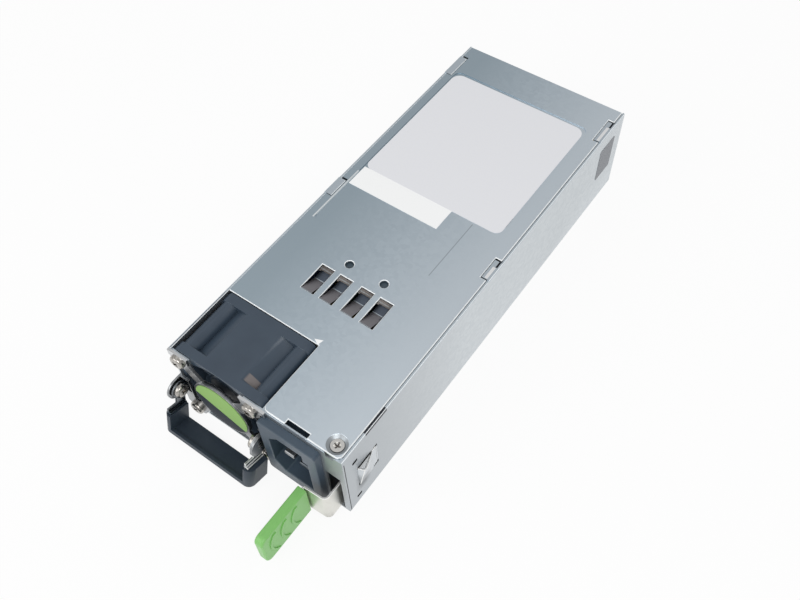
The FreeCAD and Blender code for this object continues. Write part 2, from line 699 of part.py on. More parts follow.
def cover():
    """Return the folded top cover with its louvres, recess and screw dimple."""
    side = INNER - COVER_SIDE_GAP
    front, rear = back(COVER_FRONT_SETBACK), BACK - GAP
    sheet = box((-side, side), (front, rear), (COVER_LOW, COVER_TOP))
    bay = box((-HALF, FAN_RIGHT + 4 * FIT), (FRONT - PAST, back(COVER_CUT_DEPTH)), (0, HEIGHT + PAST))
    sheet = sheet.cut(bay)
    sheet = rounded(sheet, COVER_CORNER_R, V(0, 0, 1), lambda p: p.y < FRONT + COVER_CORNER_R)
    skirt_rear = rear - SHEET - GAP
    skirts = [
        box((-side, SHEET - side), (back(COVER_CUT_DEPTH), skirt_rear),
            (COVER_TOP - COVER_FLANGE, COVER_LOW)),
        box((side - SHEET, side), (back(COVER_FLANGE_FRONT), skirt_rear),
            (COVER_TOP - COVER_FLANGE, COVER_LOW)),
    ]
    x, y = INNER - COVER_SCREW_INSET + SHEET, back(COVER_SCREW_BACK)
    neck = COVER_SCREW_R + 2 * FIT
    bowl_top = COVER_LOW - COVER_DIMPLE_DEPTH + SHEET
    bowl = Part.makeCone(neck + SHEET, COVER_DIMPLE_R, COVER_DIMPLE_DEPTH,
                         V(x, y, COVER_LOW - COVER_DIMPLE_DEPTH))
    hollow = Part.makeCone(neck, COVER_DIMPLE_R - FIT, COVER_TOP - bowl_top, V(x, y, bowl_top))
    hole = rod(neck, (x, y, 0), (x, y, HEIGHT + PAST))
    openings, tongues = zip(*[louvre(start) for start in LOUVRE_STARTS])
    notch = box((FRONT_SLOT_LEFT, FRONT_SLOT_RIGHT), (FRONT - PAST, back(FRONT_SLOT_DEPTH)),
                (0, HEIGHT + PAST))
    holes = [rod(TOOLING_HOLE_R, (hx, back(TOOLING_HOLE_BACK), 0),
                 (hx, back(TOOLING_HOLE_BACK), HEIGHT + PAST))
             for hx in TOOLING_HOLE_X]
    shape = fuse([sheet, *skirts, bowl])
    shape = cut(shape, [hollow, hole, notch, *openings, *holes, *lock_notches()])
    shape = fuse([shape, *tongues])
    return shape.fuse(recess(COVER_LOW, SHEET / 2)).cut(recess(COVER_TOP)).removeSplitter()


def lock_notches():
    """Return the notches in the cover's edges under the wall tabs."""
    notches = []
    for side in (-1, 1):
        for start, length in zip(LOCK_STARTS, LOCK_LENGTHS):
            x = sorted((side * HALF, side * (INNER - LOCK_REACH - GAP)))
            y = (back(start) - GAP, back(start + length) + 3 * GAP)
            notches.append(box(x, y, (COVER_LOW - PAST, COVER_TOP + PAST)))
    return notches


def cover_screw():
    """Return the countersunk screw that holds the cover to the tray."""
    x, y = INNER - COVER_SCREW_INSET + SHEET, back(COVER_SCREW_BACK)
    head_low = COVER_LOW - COVER_DIMPLE_DEPTH + SHEET + FIT
    slope = (COVER_TOP - head_low + FIT) / (COVER_DIMPLE_R - COVER_SCREW_R - 3 * FIT)
    head_top = head_low + (COVER_SCREW_HEAD_R - COVER_SCREW_R) * slope
    head = Part.makeCone(COVER_SCREW_R, COVER_SCREW_HEAD_R, head_top - head_low, V(x, y, head_low))
    head = head.cut(cross_recess((x, y, head_top), (0, 0, 1), COVER_SCREW_CROSS))
    return head.fuse(rod(COVER_SCREW_R, (x, y, head_low - COVER_SCREW_SHANK), (x, y, head_low)))


# Fan

def fan_tunnel(outer, inner, low, high):
    """Return a ring about the fan's axis."""
    return tube(outer, inner, (FAN_X, low, FAN_Z), (FAN_X, high, FAN_Z))


def fan_frame():
    """Return the fan's square frame with its tunnel, corner posts and rear struts."""
    y = (FAN_FRONT, FAN_BACK)
    x, z = (FAN_LEFT, FAN_RIGHT), (FAN_LOW, FAN_TOP)
    front = rounded(box(x, (y[0], y[0] + FAN_FLANGE_FRONT), z), FAN_CORNER_R, V(0, 1, 0))
    rear = rounded(box(x, (y[1] - FAN_FLANGE_REAR, y[1]), z), FAN_CORNER_R, V(0, 1, 0))
    barrel = rod(FAN_TUNNEL_R + FAN_TUNNEL_WALL, (FAN_X, y[0], FAN_Z), (FAN_X, y[1], FAN_Z))
    barrel = barrel.common(box(x, y, z))
    posts = [rod(FAN_SCREW_R + FAN_POST_WALL, (px, y[0], pz), (px, y[1], pz)).common(box(x, y, z))
             for px, pz in screw_points()]
    shape = fuse([front, rear, barrel, *posts])
    bore = rod(FAN_TUNNEL_R, (FAN_X, y[0] - PAST, FAN_Z), (FAN_X, y[1] + PAST, FAN_Z))
    holes = [rod(FAN_SCREW_R + FIT / 2, (px, y[0] - PAST, pz), (px, y[1] + PAST, pz))
             for px, pz in screw_points()]
    shape = cut(shape, [bore, *holes])
    return fuse([shape, *fan_struts(), fan_motor_base()])


def fan_struts():
    """Return the bars that carry the motor at the rear of the fan."""
    bars = []
    for number in range(FAN_STRUTS):
        bar = box((FAN_X + FAN_SHAFT_R, FAN_X + FAN_TUNNEL_R + FAN_TUNNEL_WALL / 4),
                  (FAN_BACK - FAN_REAR_PLATE, FAN_BACK),
                  (FAN_Z - FAN_STRUT_WIDTH / 2, FAN_Z + FAN_STRUT_WIDTH / 2))
        bar.rotate(V(FAN_X, 0, FAN_Z), V(0, 1, 0), FAN_STRUT_TURN + number * 360 / FAN_STRUTS)
        bars.append(bar)
    return [fuse(bars).cut(fan_bore())]


def bearing_r():
    """Return the bearings' outer radius."""
    return FAN_SHAFT_R + FAN_SHAFT_RUN + FAN_BEARING_WALL


def fan_bore():
    """Return the hole along the motor's middle."""
    return rod(bearing_r(), (FAN_X, FAN_FRONT, FAN_Z), (FAN_X, FAN_BACK - FAN_END_WALL, FAN_Z))


def fan_motor_base():
    """Return the motor plate and the tube that holds the bearings."""
    plate = rod(FAN_HUB_R - FAN_BASE_INSET, (FAN_X, FAN_BACK - FAN_REAR_PLATE, FAN_Z),
                (FAN_X, FAN_BACK, FAN_Z))
    stem = rod(FAN_TUBE_R, (FAN_X, FAN_BACK - FAN_REAR_PLATE - FAN_STEM_LENGTH, FAN_Z),
               (FAN_X, FAN_BACK, FAN_Z))
    return plate.fuse(stem).cut(fan_bore())


def bearing_places():
    """Return where the two bearings start along the shaft."""
    stem_front = FAN_BACK - FAN_REAR_PLATE - FAN_STEM_LENGTH
    return [stem_front + FAN_BEARING_INSET, FAN_BACK - FAN_BEARING_END_GAP - FAN_BEARING_LENGTH]


def fan_bearings():
    """Return the two bearings in the motor's tube."""
    inner = FAN_SHAFT_R + FAN_SHAFT_RUN
    return group([fan_tunnel(bearing_r(), inner, y, y + FAN_BEARING_LENGTH) for y in bearing_places()])


def fan_stator():
    """Return the laminated stator with its poles around the bearing tube."""
    rear = FAN_BACK - FAN_REAR_PLATE - FAN_STATOR_GAP
    front = rear - FAN_STATOR_LENGTH
    ring = FAN_STATOR_R - FAN_POLE_DEPTH
    core = fan_tunnel(ring, FAN_TUBE_R + FIT / 2, front, rear)
    poles = []
    for number in range(FAN_POLES):
        pole = box((FAN_X + (FAN_TUBE_R + ring) / 2, FAN_X + FAN_STATOR_R),
                   (front + FAN_POLE_INSET, rear - FAN_POLE_INSET),
                   (FAN_Z - FAN_POLE_HALF, FAN_Z + FAN_POLE_HALF))
        pole.rotate(V(FAN_X, 0, FAN_Z), V(0, 1, 0), number * 360 / FAN_POLES)
        poles.append(pole)
    return fuse([core, *poles])


def rotor_front():
    """Return where the rotor's hub starts."""
    return FAN_FRONT + FAN_HUB_SETBACK


def fan_blade(angle):
    """Return one twisted blade from hub to tip."""
    front = rotor_front() + FAN_BLADE_INSET
    depth = FAN_HUB_LENGTH - FAN_BLADE_SHORTER
    sections = []
    for radius, sweep in ((FAN_HUB_R - FAN_BLADE_SINK, BLADE_ROOT_SWEEP), (FAN_TUNNEL_R, BLADE_TIP_SWEEP)):
        half = math.radians(sweep) * radius / 2
        rise = FAN_BLADE_THICK
        corners = [(-half, front), (-half + rise, front), (half + rise, front + depth),
                   (half, front + depth)]
        points = [V(FAN_X + across, y, FAN_Z + radius) for across, y in corners]
        sections.append(Part.makePolygon(points + points[:1]))
    blade = Part.makeLoft(sections, True, True)
    blade.rotate(V(FAN_X, 0, FAN_Z), V(0, 1, 0), angle)
    return blade


def fan_rotor():
    """Return the hub cup with its blades."""
    front = rotor_front()
    hub = rod(FAN_HUB_R, (FAN_X, front, FAN_Z), (FAN_X, front + FAN_HUB_LENGTH, FAN_Z))
    rim = [edge for edge in hub.Edges if abs(edge.CenterOfMass.y - front) < 1e-6 and edge.Length > FAN_HUB_R]
    hub = hub.makeFillet(FAN_HUB_ROUND, rim)
    start, past = front + FAN_SEAT_START, front + FAN_DEPTH
    hollow = rod(FAN_HUB_R - FAN_HUB_WALL, (FAN_X, front + FAN_HUB_FACE, FAN_Z), (FAN_X, past, FAN_Z))
    seat = rod(FAN_SHAFT_R + FAN_SEAT_WALL, (FAN_X, start, FAN_Z), (FAN_X, start + FAN_SEAT_LENGTH, FAN_Z))
    bore = rod(FAN_SHAFT_R, (FAN_X, start, FAN_Z), (FAN_X, past, FAN_Z))
    blades = [fan_blade(number * 360 / FAN_BLADES) for number in range(FAN_BLADES)]
    limit = rod(FAN_TUNNEL_R - FAN_TIP_GAP, (FAN_X, front, FAN_Z), (FAN_X, front + FAN_HUB_LENGTH, FAN_Z))
    wheel = fuse([hub, *blades]).common(limit)
    return wheel.cut(hollow).fuse(seat).cut(bore)


def fan_shaft():
    """Return the shaft that is pressed into the hub."""
    front, rear = rotor_front() + FAN_SEAT_START, FAN_BACK - FAN_SHAFT_END_GAP
    return rod(FAN_SHAFT_R, (FAN_X, front, FAN_Z), (FAN_X, rear, FAN_Z))


def fan_magnet():
    """Return the magnet ring inside the hub cup."""
    outer = FAN_HUB_R - FAN_HUB_WALL
    rear = rotor_front() + FAN_HUB_LENGTH - FAN_MAGNET_INSET
    return fan_tunnel(outer, outer - FAN_MAGNET_WALL, rear - FAN_MAGNET_LENGTH, rear)


def fan_screws():
    """Return the four screws that hold guard, lip and fan together."""
    return group([
        pan_screw((x, GUARD_FRONT, z), (0, -1, 0), FAN_SCREW_HEAD_R, FAN_SCREW_HEAD_H, FAN_SCREW_R,
                  FAN_SCREW_LENGTH)
        for x, z in screw_points()
    ])


# Guard and handle pivots

def guard_ear(x, root_x):
    """Return an ear that is bent forward, with the strip that ties it to the lower pad."""
    eye = rod(EAR_R, (x, PIVOT_Y, PIVOT_Z), (x + EAR_SHEET, PIVOT_Y, PIVOT_Z))
    web = box((x, x + EAR_SHEET), (PIVOT_Y, FRONT), (PIVOT_Z - EAR_R, PIVOT_Z + EAR_R))
    low = FAN_Z - FAN_HOLE_PITCH / 2
    strip = box(sorted((x if root_x > x else x + EAR_SHEET, root_x)), (GUARD_FRONT, FRONT),
                (low, PIVOT_Z + EAR_R))
    hole = rod(PIVOT_SHANK_R, (x - PAST, PIVOT_Y, PIVOT_Z), (x + EAR_SHEET + PAST, PIVOT_Y, PIVOT_Z))
    return fuse([eye, web, strip]).cut(hole)


def guard_arms():
    """Return the four arms from the middle disc to the screw pads."""
    arms = []
    for x, z in screw_points():
        reach = math.hypot(x - FAN_X, z - FAN_Z)
        arm = box((FAN_X, FAN_X + reach), (GUARD_FRONT, FRONT),
                  (FAN_Z - GUARD_ARM / 2, FAN_Z + GUARD_ARM / 2))
        arm.rotate(V(FAN_X, 0, FAN_Z), V(0, 1, 0), -math.degrees(math.atan2(z - FAN_Z, x - FAN_X)))
        arms.append(arm)
        arms.append(rod(GUARD_PAD_R, (x, GUARD_FRONT, z), (x, FRONT, z)))
    return arms


def guard_tabs():
    """Return the square upper corners of the guard."""
    half = FAN_HOLE_PITCH / 2
    y = (GUARD_FRONT, FRONT)
    left, right, high = FAN_X - half, FAN_X + half, FAN_Z + half
    left_tab = box((EAR_LEFT_X, left + GUARD_PAD_R), y, (high, FAN_TOP))
    inner, outer = right - GUARD_PAD_R, right + GUARD_TAB_REACH
    outline = [
        (inner, high - GUARD_TAB_LEAN), (right, high - GUARD_PAD_R),
        (right + GUARD_TAB_STEP, high - GUARD_PAD_R),
        (outer, INLET_FLANGE_TOP + GAP), (outer, FAN_TOP), (inner - GUARD_TAB_LEAN, FAN_TOP),
    ]
    return [left_tab, prism(outline, "y", *y)]


def fan_guard():
    """Return the stamped guard plate with its two handle ears."""
    disc = rod(GUARD_DISC_R, (FAN_X, GUARD_FRONT - GUARD_EMBOSS, FAN_Z), (FAN_X, FRONT, FAN_Z))
    hollow = rod(GUARD_DISC_R - GUARD_SHEET, (FAN_X, FRONT - GUARD_EMBOSS, FAN_Z),
                 (FAN_X, FRONT + PAST, FAN_Z))
    half = FAN_HOLE_PITCH / 2
    ears = [guard_ear(EAR_LEFT_X, FAN_X - half), guard_ear(EAR_RIGHT_X, FAN_X + half)]
    shape = fuse([disc, *guard_arms(), *guard_tabs(), *ears])
    limit = box((EAR_LEFT_X, HALF), (FRONT - HEIGHT, FRONT), (GAP, HEIGHT))
    holes = [rod(FAN_SCREW_R + FIT / 2, (x, GUARD_FRONT - PAST, z), (x, FRONT + PAST, z))
             for x, z in screw_points()]
    flange = box((INLET_FLANGE_LEFT - FIT, HALF), (FRONT - HEIGHT, FRONT + PAST),
                 (0, INLET_FLANGE_TOP + FIT))
    return cut(shape.common(limit), [*holes, flange, hollow, *pivot_reliefs()])


def pivot_reliefs():
    """Return the notches that keep the guard clear of the handle's eyes and screw heads."""
    reach = max(ARM_EYE_R, PIVOT_HEAD_R) + GAP
    depth = ARM_SHEET + PIVOT_HEAD_H + 3 * GAP
    spans = [
        (EAR_LEFT_X + EAR_SHEET, EAR_LEFT_X + EAR_SHEET + depth),
        (EAR_RIGHT_X - depth, EAR_RIGHT_X),
    ]
    return [box(x, (PIVOT_Y, FRONT + PAST), (PIVOT_Z - reach, PIVOT_Z + reach)) for x in spans]


def guard_label():
    """Return the blank round label on the guard's disc."""
    face = GUARD_FRONT - GUARD_EMBOSS
    return rod(GUARD_LABEL_R, (FAN_X, face - GUARD_LABEL_THICK, FAN_Z), (FAN_X, face, FAN_Z))


def arm_left_x():
    """Return where the left handle arm starts in X."""
    return EAR_LEFT_X + EAR_SHEET + GAP


def arm_right_x():
    """Return where the right handle arm starts in X."""
    return EAR_RIGHT_X - GAP - ARM_SHEET


def pivot_screw(ear_x, side):
    """Return one pivot screw: side is +1 where its head faces +X."""
    if side > 0:
        seat = arm_left_x() + ARM_SHEET + FIT
        length = seat - ear_x
    else:
        seat = arm_right_x() - FIT
        length = ear_x + EAR_SHEET - seat
    return pan_screw((seat, PIVOT_Y, PIVOT_Z), (side, 0, 0), PIVOT_HEAD_R, PIVOT_HEAD_H, PIVOT_SHANK_R,
                     length)


def tilted(shape):
    """Turn a handle piece from straight down to the angle at which it rests."""
    shape.rotate(V(0, PIVOT_Y, PIVOT_Z), V(1, 0, 0), HANDLE_TILT)
    return shape


def handle_arm(x):
    """Return one pressed arm of the handle, with the flange that lies on the grip."""
    eye = rod(ARM_EYE_R, (x, PIVOT_Y, PIVOT_Z), (x + ARM_SHEET, PIVOT_Y, PIVOT_Z))
    blade = box((x, x + ARM_SHEET), (PIVOT_Y - ARM_WIDTH / 2, PIVOT_Y + ARM_WIDTH / 2),
                (PIVOT_Z - ARM_TAIL, PIVOT_Z))
    y = (PIVOT_Y - GRIP_FRONT + ARM_FLANGE_INSET, PIVOT_Y + GRIP_REAR)
    flange = box((x, x + ARM_FLANGE_REACH), y, (PIVOT_Z - GRIP_TOP, PIVOT_Z - ARM_FLANGE_AT))
    heel = box((x, x + ARM_SHEET), y, (PIVOT_Z - GRIP_TOP, PIVOT_Z - ARM_FLANGE_AT + ARM_HEEL))
    shape = fuse([eye, blade, flange, heel])
    hole = rod(PIVOT_SHANK_R + PIVOT_RUN, (x - PAST, PIVOT_Y, PIVOT_Z),
               (x + ARM_SHEET + PAST, PIVOT_Y, PIVOT_Z))
    return tilted(shape.cut(hole))


def handle_grip():
    """Return the moulded grip: a floor, a front lip and two end walls that take the arms."""
    left = EAR_LEFT_X
    right = INLET_FLANGE_LEFT + GRIP_OVERHANG
    y = (PIVOT_Y - GRIP_FRONT, PIVOT_Y + GRIP_REAR)
    low = PIVOT_Z - GRIP_BOTTOM
    block = box((left, right), y, (low, PIVOT_Z - GRIP_TOP))
    block = rounded(block, GRIP_CORNER_R, V(0, 0, 1), lambda p: p.y < PIVOT_Y)
    inside = (left + GRIP_END_WALL, right - GRIP_END_WALL)
    hollow = box(inside, (y[0] + GRIP_LIP, y[1] + PAST), (low + GRIP_FLOOR, PIVOT_Z))
    hollow = rounded(hollow, GRIP_INNER_R, V(0, 0, 1), lambda p: p.y < PIVOT_Y)
    above_lip = box(inside, (y[0] - PAST, y[1] + PAST), (PIVOT_Z - GRIP_LIP_TOP, PIVOT_Z))
    shape = cut(block, [hollow, above_lip])
    slots = []
    for x in (arm_left_x(), arm_right_x()):
        slots.append(box((x, x + ARM_SHEET), (PIVOT_Y - ARM_WIDTH / 2, PIVOT_Y + ARM_WIDTH / 2),
                         (PIVOT_Z - ARM_TAIL, PIVOT_Z)))
    return tilted(cut(shape, slots))


# Mains inlet

def cavity_outline(grow):
    """Return the inlet cavity's outline, grown outwards by a wall."""
    half_w = INLET_CAVITY_WIDTH / 2 + grow
    half_h = INLET_CAVITY_HEIGHT / 2 + grow
    left, right = INLET_X - half_w, INLET_X + half_w
    low, high = INLET_Z - half_h, INLET_Z + half_h
    chamfer = INLET_CAVITY_CHAMFER + grow * INLET_CHAMFER_GROWTH
    return [(left, low + chamfer), (left + chamfer, low), (right, low), (right, high),
            (left + chamfer, high),
            (left, high - chamfer)]


def pin_places():
    """Return each pin's middle in X and Z, its setback and its tail's shift."""
    earth_x = INLET_X - PIN_ROW / 2
    live_x = INLET_X + PIN_ROW / 2
    return {
        "inlet_earth_pin": (earth_x, INLET_Z, EARTH_PIN_SETBACK, 0.0),
        "inlet_line_pin": (live_x, INLET_Z + PIN_SPREAD, LIVE_PIN_SETBACK, LINE_TAIL_SHIFT),
        "inlet_neutral_pin": (live_x, INLET_Z - PIN_SPREAD, LIVE_PIN_SETBACK, NEUTRAL_TAIL_SHIFT),
    }


def inlet_pin(x, z, setback, shift):
    """Return one flat pin whose tail turns down through the board."""
    tip = INLET_FACE + setback
    tail = INLET_REAR + PIN_TAIL_BACK + shift
    blade = box((x - PIN_WIDTH / 2, x + PIN_WIDTH / 2), (tip, tail + PIN_TAIL_THICK),
                (z - PIN_THICK / 2, z + PIN_THICK / 2))
    blade = rounded(blade, PIN_TIP_R, V(1, 0, 0), lambda p: p.y < tip + PIN_TIP_R)
    stem = box((x - PIN_TAIL / 2, x + PIN_TAIL / 2), (tail, tail + PIN_TAIL_THICK),
               (BOARD_Z - PIN_STICKOUT, z))
    return blade.fuse(stem).removeSplitter()


def inlet_housing():
    """Return the inlet's moulded body with its flange, cavity and key."""
    flange = box((INLET_FLANGE_LEFT, INLET_FLANGE_RIGHT), (INLET_FACE, FRONT),
                 (INLET_FLANGE_LOW, INLET_FLANGE_TOP))
    flange = rounded(flange, INLET_CORNER_R, V(0, 1, 0))
    body = prism(cavity_outline(INLET_WALL), "y", FRONT - PAST, INLET_REAR)
    cavity = prism(cavity_outline(0.0), "y", INLET_FACE - PAST, INLET_FACE + INLET_CAVITY_DEPTH)
    right = INLET_X + INLET_CAVITY_WIDTH / 2
    high = INLET_Z + INLET_CAVITY_HEIGHT / 2
    key = box((right - INLET_KEY_WIDTH, right + FIT), (INLET_FACE, INLET_FACE + INLET_CAVITY_DEPTH),
              (high - INLET_KEY_HEIGHT, high + FIT))
    shape = flange.fuse(body).cut(cavity).fuse(key)
    slots = [
        box((x - PIN_WIDTH / 2, x + PIN_WIDTH / 2), (FRONT, INLET_REAR + PAST),
            (z - PIN_THICK / 2, z + PIN_THICK / 2))
        for x, z, setback, shift in pin_places().values()
    ]
    return cut(shape, slots)


# Latch

def round_bend(strip, pair, bend, thick):
    """Round the inner and the outer edge of one bend about the same centre."""
    inner, outer = pair[0].CenterOfMass, pair[-1].CenterOfMass
    for place, radius in ((inner, bend), (outer, bend + thick)):
        edges = [edge for edge in strip.Edges if edge.CenterOfMass.isEqual(place, FIT / 10)]
        strip = strip.makeFillet(radius, edges)
    return strip


def latch_path(points, thick, low, high, bends):
    """Return a sheet strip bent along plan points, each bend with its own inner radius."""
    outline = []
    count = len(points)
    normals = []
    for first, second in zip(points[:-1], points[1:]):
        dx, dy = second[0] - first[0], second[1] - first[1]
        size = math.hypot(dx, dy)
        normals.append((-dy / size, dx / size))
    for side in (1, -1):
        order = range(count) if side > 0 else range(count - 1, -1, -1)
        for index in order:
            near = normals[max(index - 1, 0)]
            far = normals[min(index, count - 2)]
            mx, my = near[0] + far[0], near[1] + far[1]
            scale = side * thick / (mx * near[0] + my * near[1]) / 2
            outline.append((points[index][0] + mx * scale, points[index][1] + my * scale))
    strip = prism(outline, "z", low, high)
    for index, bend in enumerate(bends, 1):
        (px, py), before, after = points[index], points[index - 1], points[index + 1]
        middle = V((before[0] + after[0]) / 2, (before[1] + after[1]) / 2, (low + high) / 2)
        pair = [edge for edge in strip.Edges if along(edge, V(0, 0, 1))
                and math.hypot(edge.CenterOfMass.x - px, edge.CenterOfMass.y - py) < thick]
        pair.sort(key=lambda edge: edge.CenterOfMass.distanceToPoint(middle))
        strip = round_bend(strip, pair, bend, thick)
    return strip


def latch_spring():
    """Return the sprung strip: back plate, tooth, jog, front bend and the tongue in the grip."""
    mid = LATCH_OUTER - LATCH_SHEET / 2
    exit_x = LATCH_EXIT_X - LATCH_SHEET / 2
    corner_y = FRONT - LATCH_REACH
    run = [
        (mid, back(WINDOW_REAR + LATCH_STRIP_END)), (mid, back(LATCH_JOG_REAR)),
        (exit_x, back(LATCH_JOG_FRONT)),
        (exit_x, corner_y), (LATCH_TONGUE_X, corner_y - LATCH_LEAN),
        (LATCH_TONGUE_X, FRONT - LATCH_GRIP_START - LATCH_TONGUE),
    ]
    bends = (LATCH_BEND_R, LATCH_BEND_R, LATCH_CORNER_R, LATCH_BEND_R)
    strip = latch_path(run, LATCH_SHEET, LATCH_LOW, LATCH_HIGH, bends)
    tip = FRONT - LATCH_GRIP_START - LATCH_TONGUE
    root = FRONT - LATCH_GRIP_START - LATCH_TONGUE_ROOT
    x = (LATCH_TONGUE_X - LATCH_SHEET, LATCH_TONGUE_X + LATCH_SHEET)
    keep = box(x, (tip - PAST, root),
               (LATCH_GRIP_LOW + LATCH_TONGUE_MARGIN, LATCH_HIGH - LATCH_TONGUE_MARGIN))
    trim = box(x, (tip - 2 * PAST, root), (0, HEIGHT))
    strip = strip.cut(trim.cut(keep))
    plate = box((LATCH_INNER, LATCH_OUTER), (back(LATCH_JOG_REAR + LATCH_PLATE_INSET), back(LATCH_ROOT)),
                (LATCH_BACK_LOW, LATCH_BACK_HIGH))
    return fuse([strip, plate, latch_tooth()])


def tooth_ramp(inset):
    """Return the space under the tooth's slope, drawn in by an inset."""
    high = HALF + TOOTH_OUT - inset
    low = HALF + TOOTH_FOOT - inset
    return prism([(LATCH_INNER, TOOTH_LOW), (low, TOOTH_LOW), (high, TOOTH_HIGH + PAST),
                  (LATCH_INNER, TOOTH_HIGH + PAST)], "y", FRONT, back(WINDOW_REAR))


def latch_tooth():
    """Return the pressed tooth that fills the wall's window and slopes out to its tip."""
    tip_x = HALF + TOOTH_OUT
    bump = prism([
        (LATCH_INNER, back(TOOTH_FRONT)), (HALF, back(TOOTH_FRONT)),
        (tip_x, back(TOOTH_TIP - TOOTH_CREST / 2)), (tip_x, back(TOOTH_TIP + TOOTH_CREST / 2)),
        (HALF, back(TOOTH_REAR)), (HALF, back(TOOTH_PLATE_REAR)), (LATCH_INNER, back(TOOTH_PLATE_REAR)),
    ], "z", TOOTH_LOW, TOOTH_HIGH)
    bump = bump.common(tooth_ramp(0))
    hollow = prism([
        (LATCH_OUTER, back(TOOTH_FRONT + TOOTH_SHELL)), (HALF, back(TOOTH_FRONT + TOOTH_SHELL)),
        (tip_x - TOOTH_SHELL, back(TOOTH_TIP)), (HALF, back(TOOTH_REAR - TOOTH_SHELL)),
        (LATCH_OUTER, back(TOOTH_REAR - TOOTH_SHELL)),
    ], "z", TOOTH_LOW, TOOTH_HIGH + PAST)
    return bump.cut(hollow.common(tooth_ramp(TOOTH_SHELL)))


def latch_foot():
    """Return the fixed end of the strip, welded to the wall."""
    return box((LATCH_INNER, INNER), (back(LATCH_ROOT) + GAP, back(LATCH_ROOT + LATCH_FOOT_LENGTH)),
               (LATCH_BACK_LOW, LATCH_BACK_HIGH))


def latch_ridge(number):
    """Return one curved ridge on the grip's outer face."""
    x = LATCH_GRIP_LEFT + LATCH_GRIP_WIDTH
    front = FRONT - LATCH_GRIP_START - RIDGE_FIRST - number * RIDGE_PITCH
    y = front + RIDGE_R
    z = (LATCH_GRIP_LOW + LATCH_GRIP_HIGH) / 2
    ring = tube(RIDGE_R, RIDGE_R - RIDGE_WIDTH, (x - RIDGE_RISE, y, z), (x + RIDGE_RISE, y, z))
    return ring.common(box((x - PAST, x + PAST), (front - PAST, y), (z - RIDGE_HALF, z + RIDGE_HALF)))


def latch_grip(spring):
    """Return the squeeze grip, moulded around the end of the strip."""
    x = (LATCH_GRIP_LEFT, LATCH_GRIP_LEFT + LATCH_GRIP_WIDTH)
    tip = FRONT - LATCH_GRIP_START - LATCH_GRIP_LENGTH
    block = box(x, (tip, FRONT - LATCH_GRIP_START), (LATCH_GRIP_LOW, LATCH_GRIP_HIGH))
    block = rounded(block, LATCH_GRIP_R, V(1, 0, 0), lambda p: p.y < tip + LATCH_GRIP_R)
    rear = FRONT - LATCH_GRIP_START - FIT
    rim = [edge for edge in block.Edges if not along(edge, V(1, 0, 0)) and edge.CenterOfMass.y < rear]
    block = block.makeFillet(LATCH_GRIP_EDGE_R, rim)
    return fuse([block] + [latch_ridge(number) for number in range(LATCH_RIDGES)]).cut(spring)


# Boards and power parts

def place(box_sizes, height):
    """Return a block that stands on the main board."""
    left, right, front, rear = box_sizes
    return box((left, right), (back(front), back(rear)), (BOARD_TOP, BOARD_TOP + height))


def main_board():
    """Return the main board, with a tongue under the inlet's rear."""
    side = INNER - BOARD_SIDE_GAP
    outline = [
        (-side, back(BOARD_FRONT)), (BOARD_TONGUE_LEFT, back(BOARD_FRONT)),
        (BOARD_TONGUE_LEFT, back(BOARD_TONGUE_FRONT)), (BOARD_TONGUE_RIGHT, back(BOARD_TONGUE_FRONT)),
        (BOARD_TONGUE_RIGHT, back(BOARD_TONGUE_STEP)), (side, back(BOARD_TONGUE_STEP)),
        (side, back(BOARD_BACK)), (-side, back(BOARD_BACK)),
    ]
    board = prism(outline, "z", BOARD_Z, BOARD_TOP)
    holes = [rod(STANDOFF_BORE_R + FIT, (x, back(y), 0), (x, back(y), HEIGHT)) for x, y in STANDOFF_POINTS]
    slots = []
    for x, z, setback, shift in pin_places().values():
        tail = INLET_REAR + PIN_TAIL_BACK + shift
        slots.append(box((x - PIN_TAIL / 2 - FIT, x + PIN_TAIL / 2 + FIT),
                         (tail - FIT, tail + PIN_TAIL_THICK + FIT),
                         (0, HEIGHT)))
    return cut(board, holes + slots)


def insulator_sheet():
    """Return the thin sheet that keeps the board's solder away from the tray."""
    side = INNER - BOARD_SIDE_GAP
    y = (back(BOARD_FRONT + INSULATOR_MARGIN), back(BOARD_BACK + INSULATOR_MARGIN))
    sheet = box((-side, side), y, (SHEET, SHEET + INSULATOR_THICK))
    return cut(sheet, [rod(STANDOFF_R + FIT, (x, back(y), 0), (x, back(y), HEIGHT))
                       for x, y in STANDOFF_POINTS])


def board_standoffs():
    """Return the threaded pillars under the board."""
    return group([tube(STANDOFF_R, STANDOFF_BORE_R, (x, back(y), SHEET), (x, back(y), BOARD_Z))
                  for x, y in STANDOFF_POINTS])


def board_screws():
    """Return the screws that hold the board to its pillars."""
    length = BOARD_THICK + BOARD_SCREW_BITE
    return group([pan_screw((x, back(y), BOARD_TOP), (0, 0, 1), BOARD_SCREW_HEAD_R, BOARD_SCREW_HEAD_H,
                            STANDOFF_BORE_R - BOARD_SCREW_RUN, length) for x, y in STANDOFF_POINTS])


def ring_core(middle, outer, bore, height, low):
    """Return a flat ring core that lies on the board."""
    x, y = middle[0], back(middle[1])
    return tube(outer, bore, (x, y, low), (x, y, low + height))


def ring_winding(middle, outer, bore, height, low, start, sweep):
    """Return a wound sector around a ring core."""
    clear = WINDING_CLEAR
    sleeves = []
    for grow, is_cut in ((clear + WINDING, False), (clear, True)):
        r_in, r_out = bore - grow, outer + grow
        points = [V(r_in, 0, low - grow), V(r_out, 0, low - grow), V(r_out, 0, low + height + grow),
                  V(r_in, 0, low + height + grow)]
        face = Part.Face(Part.makePolygon(points + points[:1]))
        turn = sweep if not is_cut else 360
        sleeves.append(face.revolve(V(0, 0, 0), V(0, 0, 1), turn))
    sector = sleeves[0].cut(sleeves[1])
    sector.rotate(V(0, 0, 0), V(0, 0, 1), start)
    sector.translate(V(middle[0], back(middle[1]), 0))
    return sector


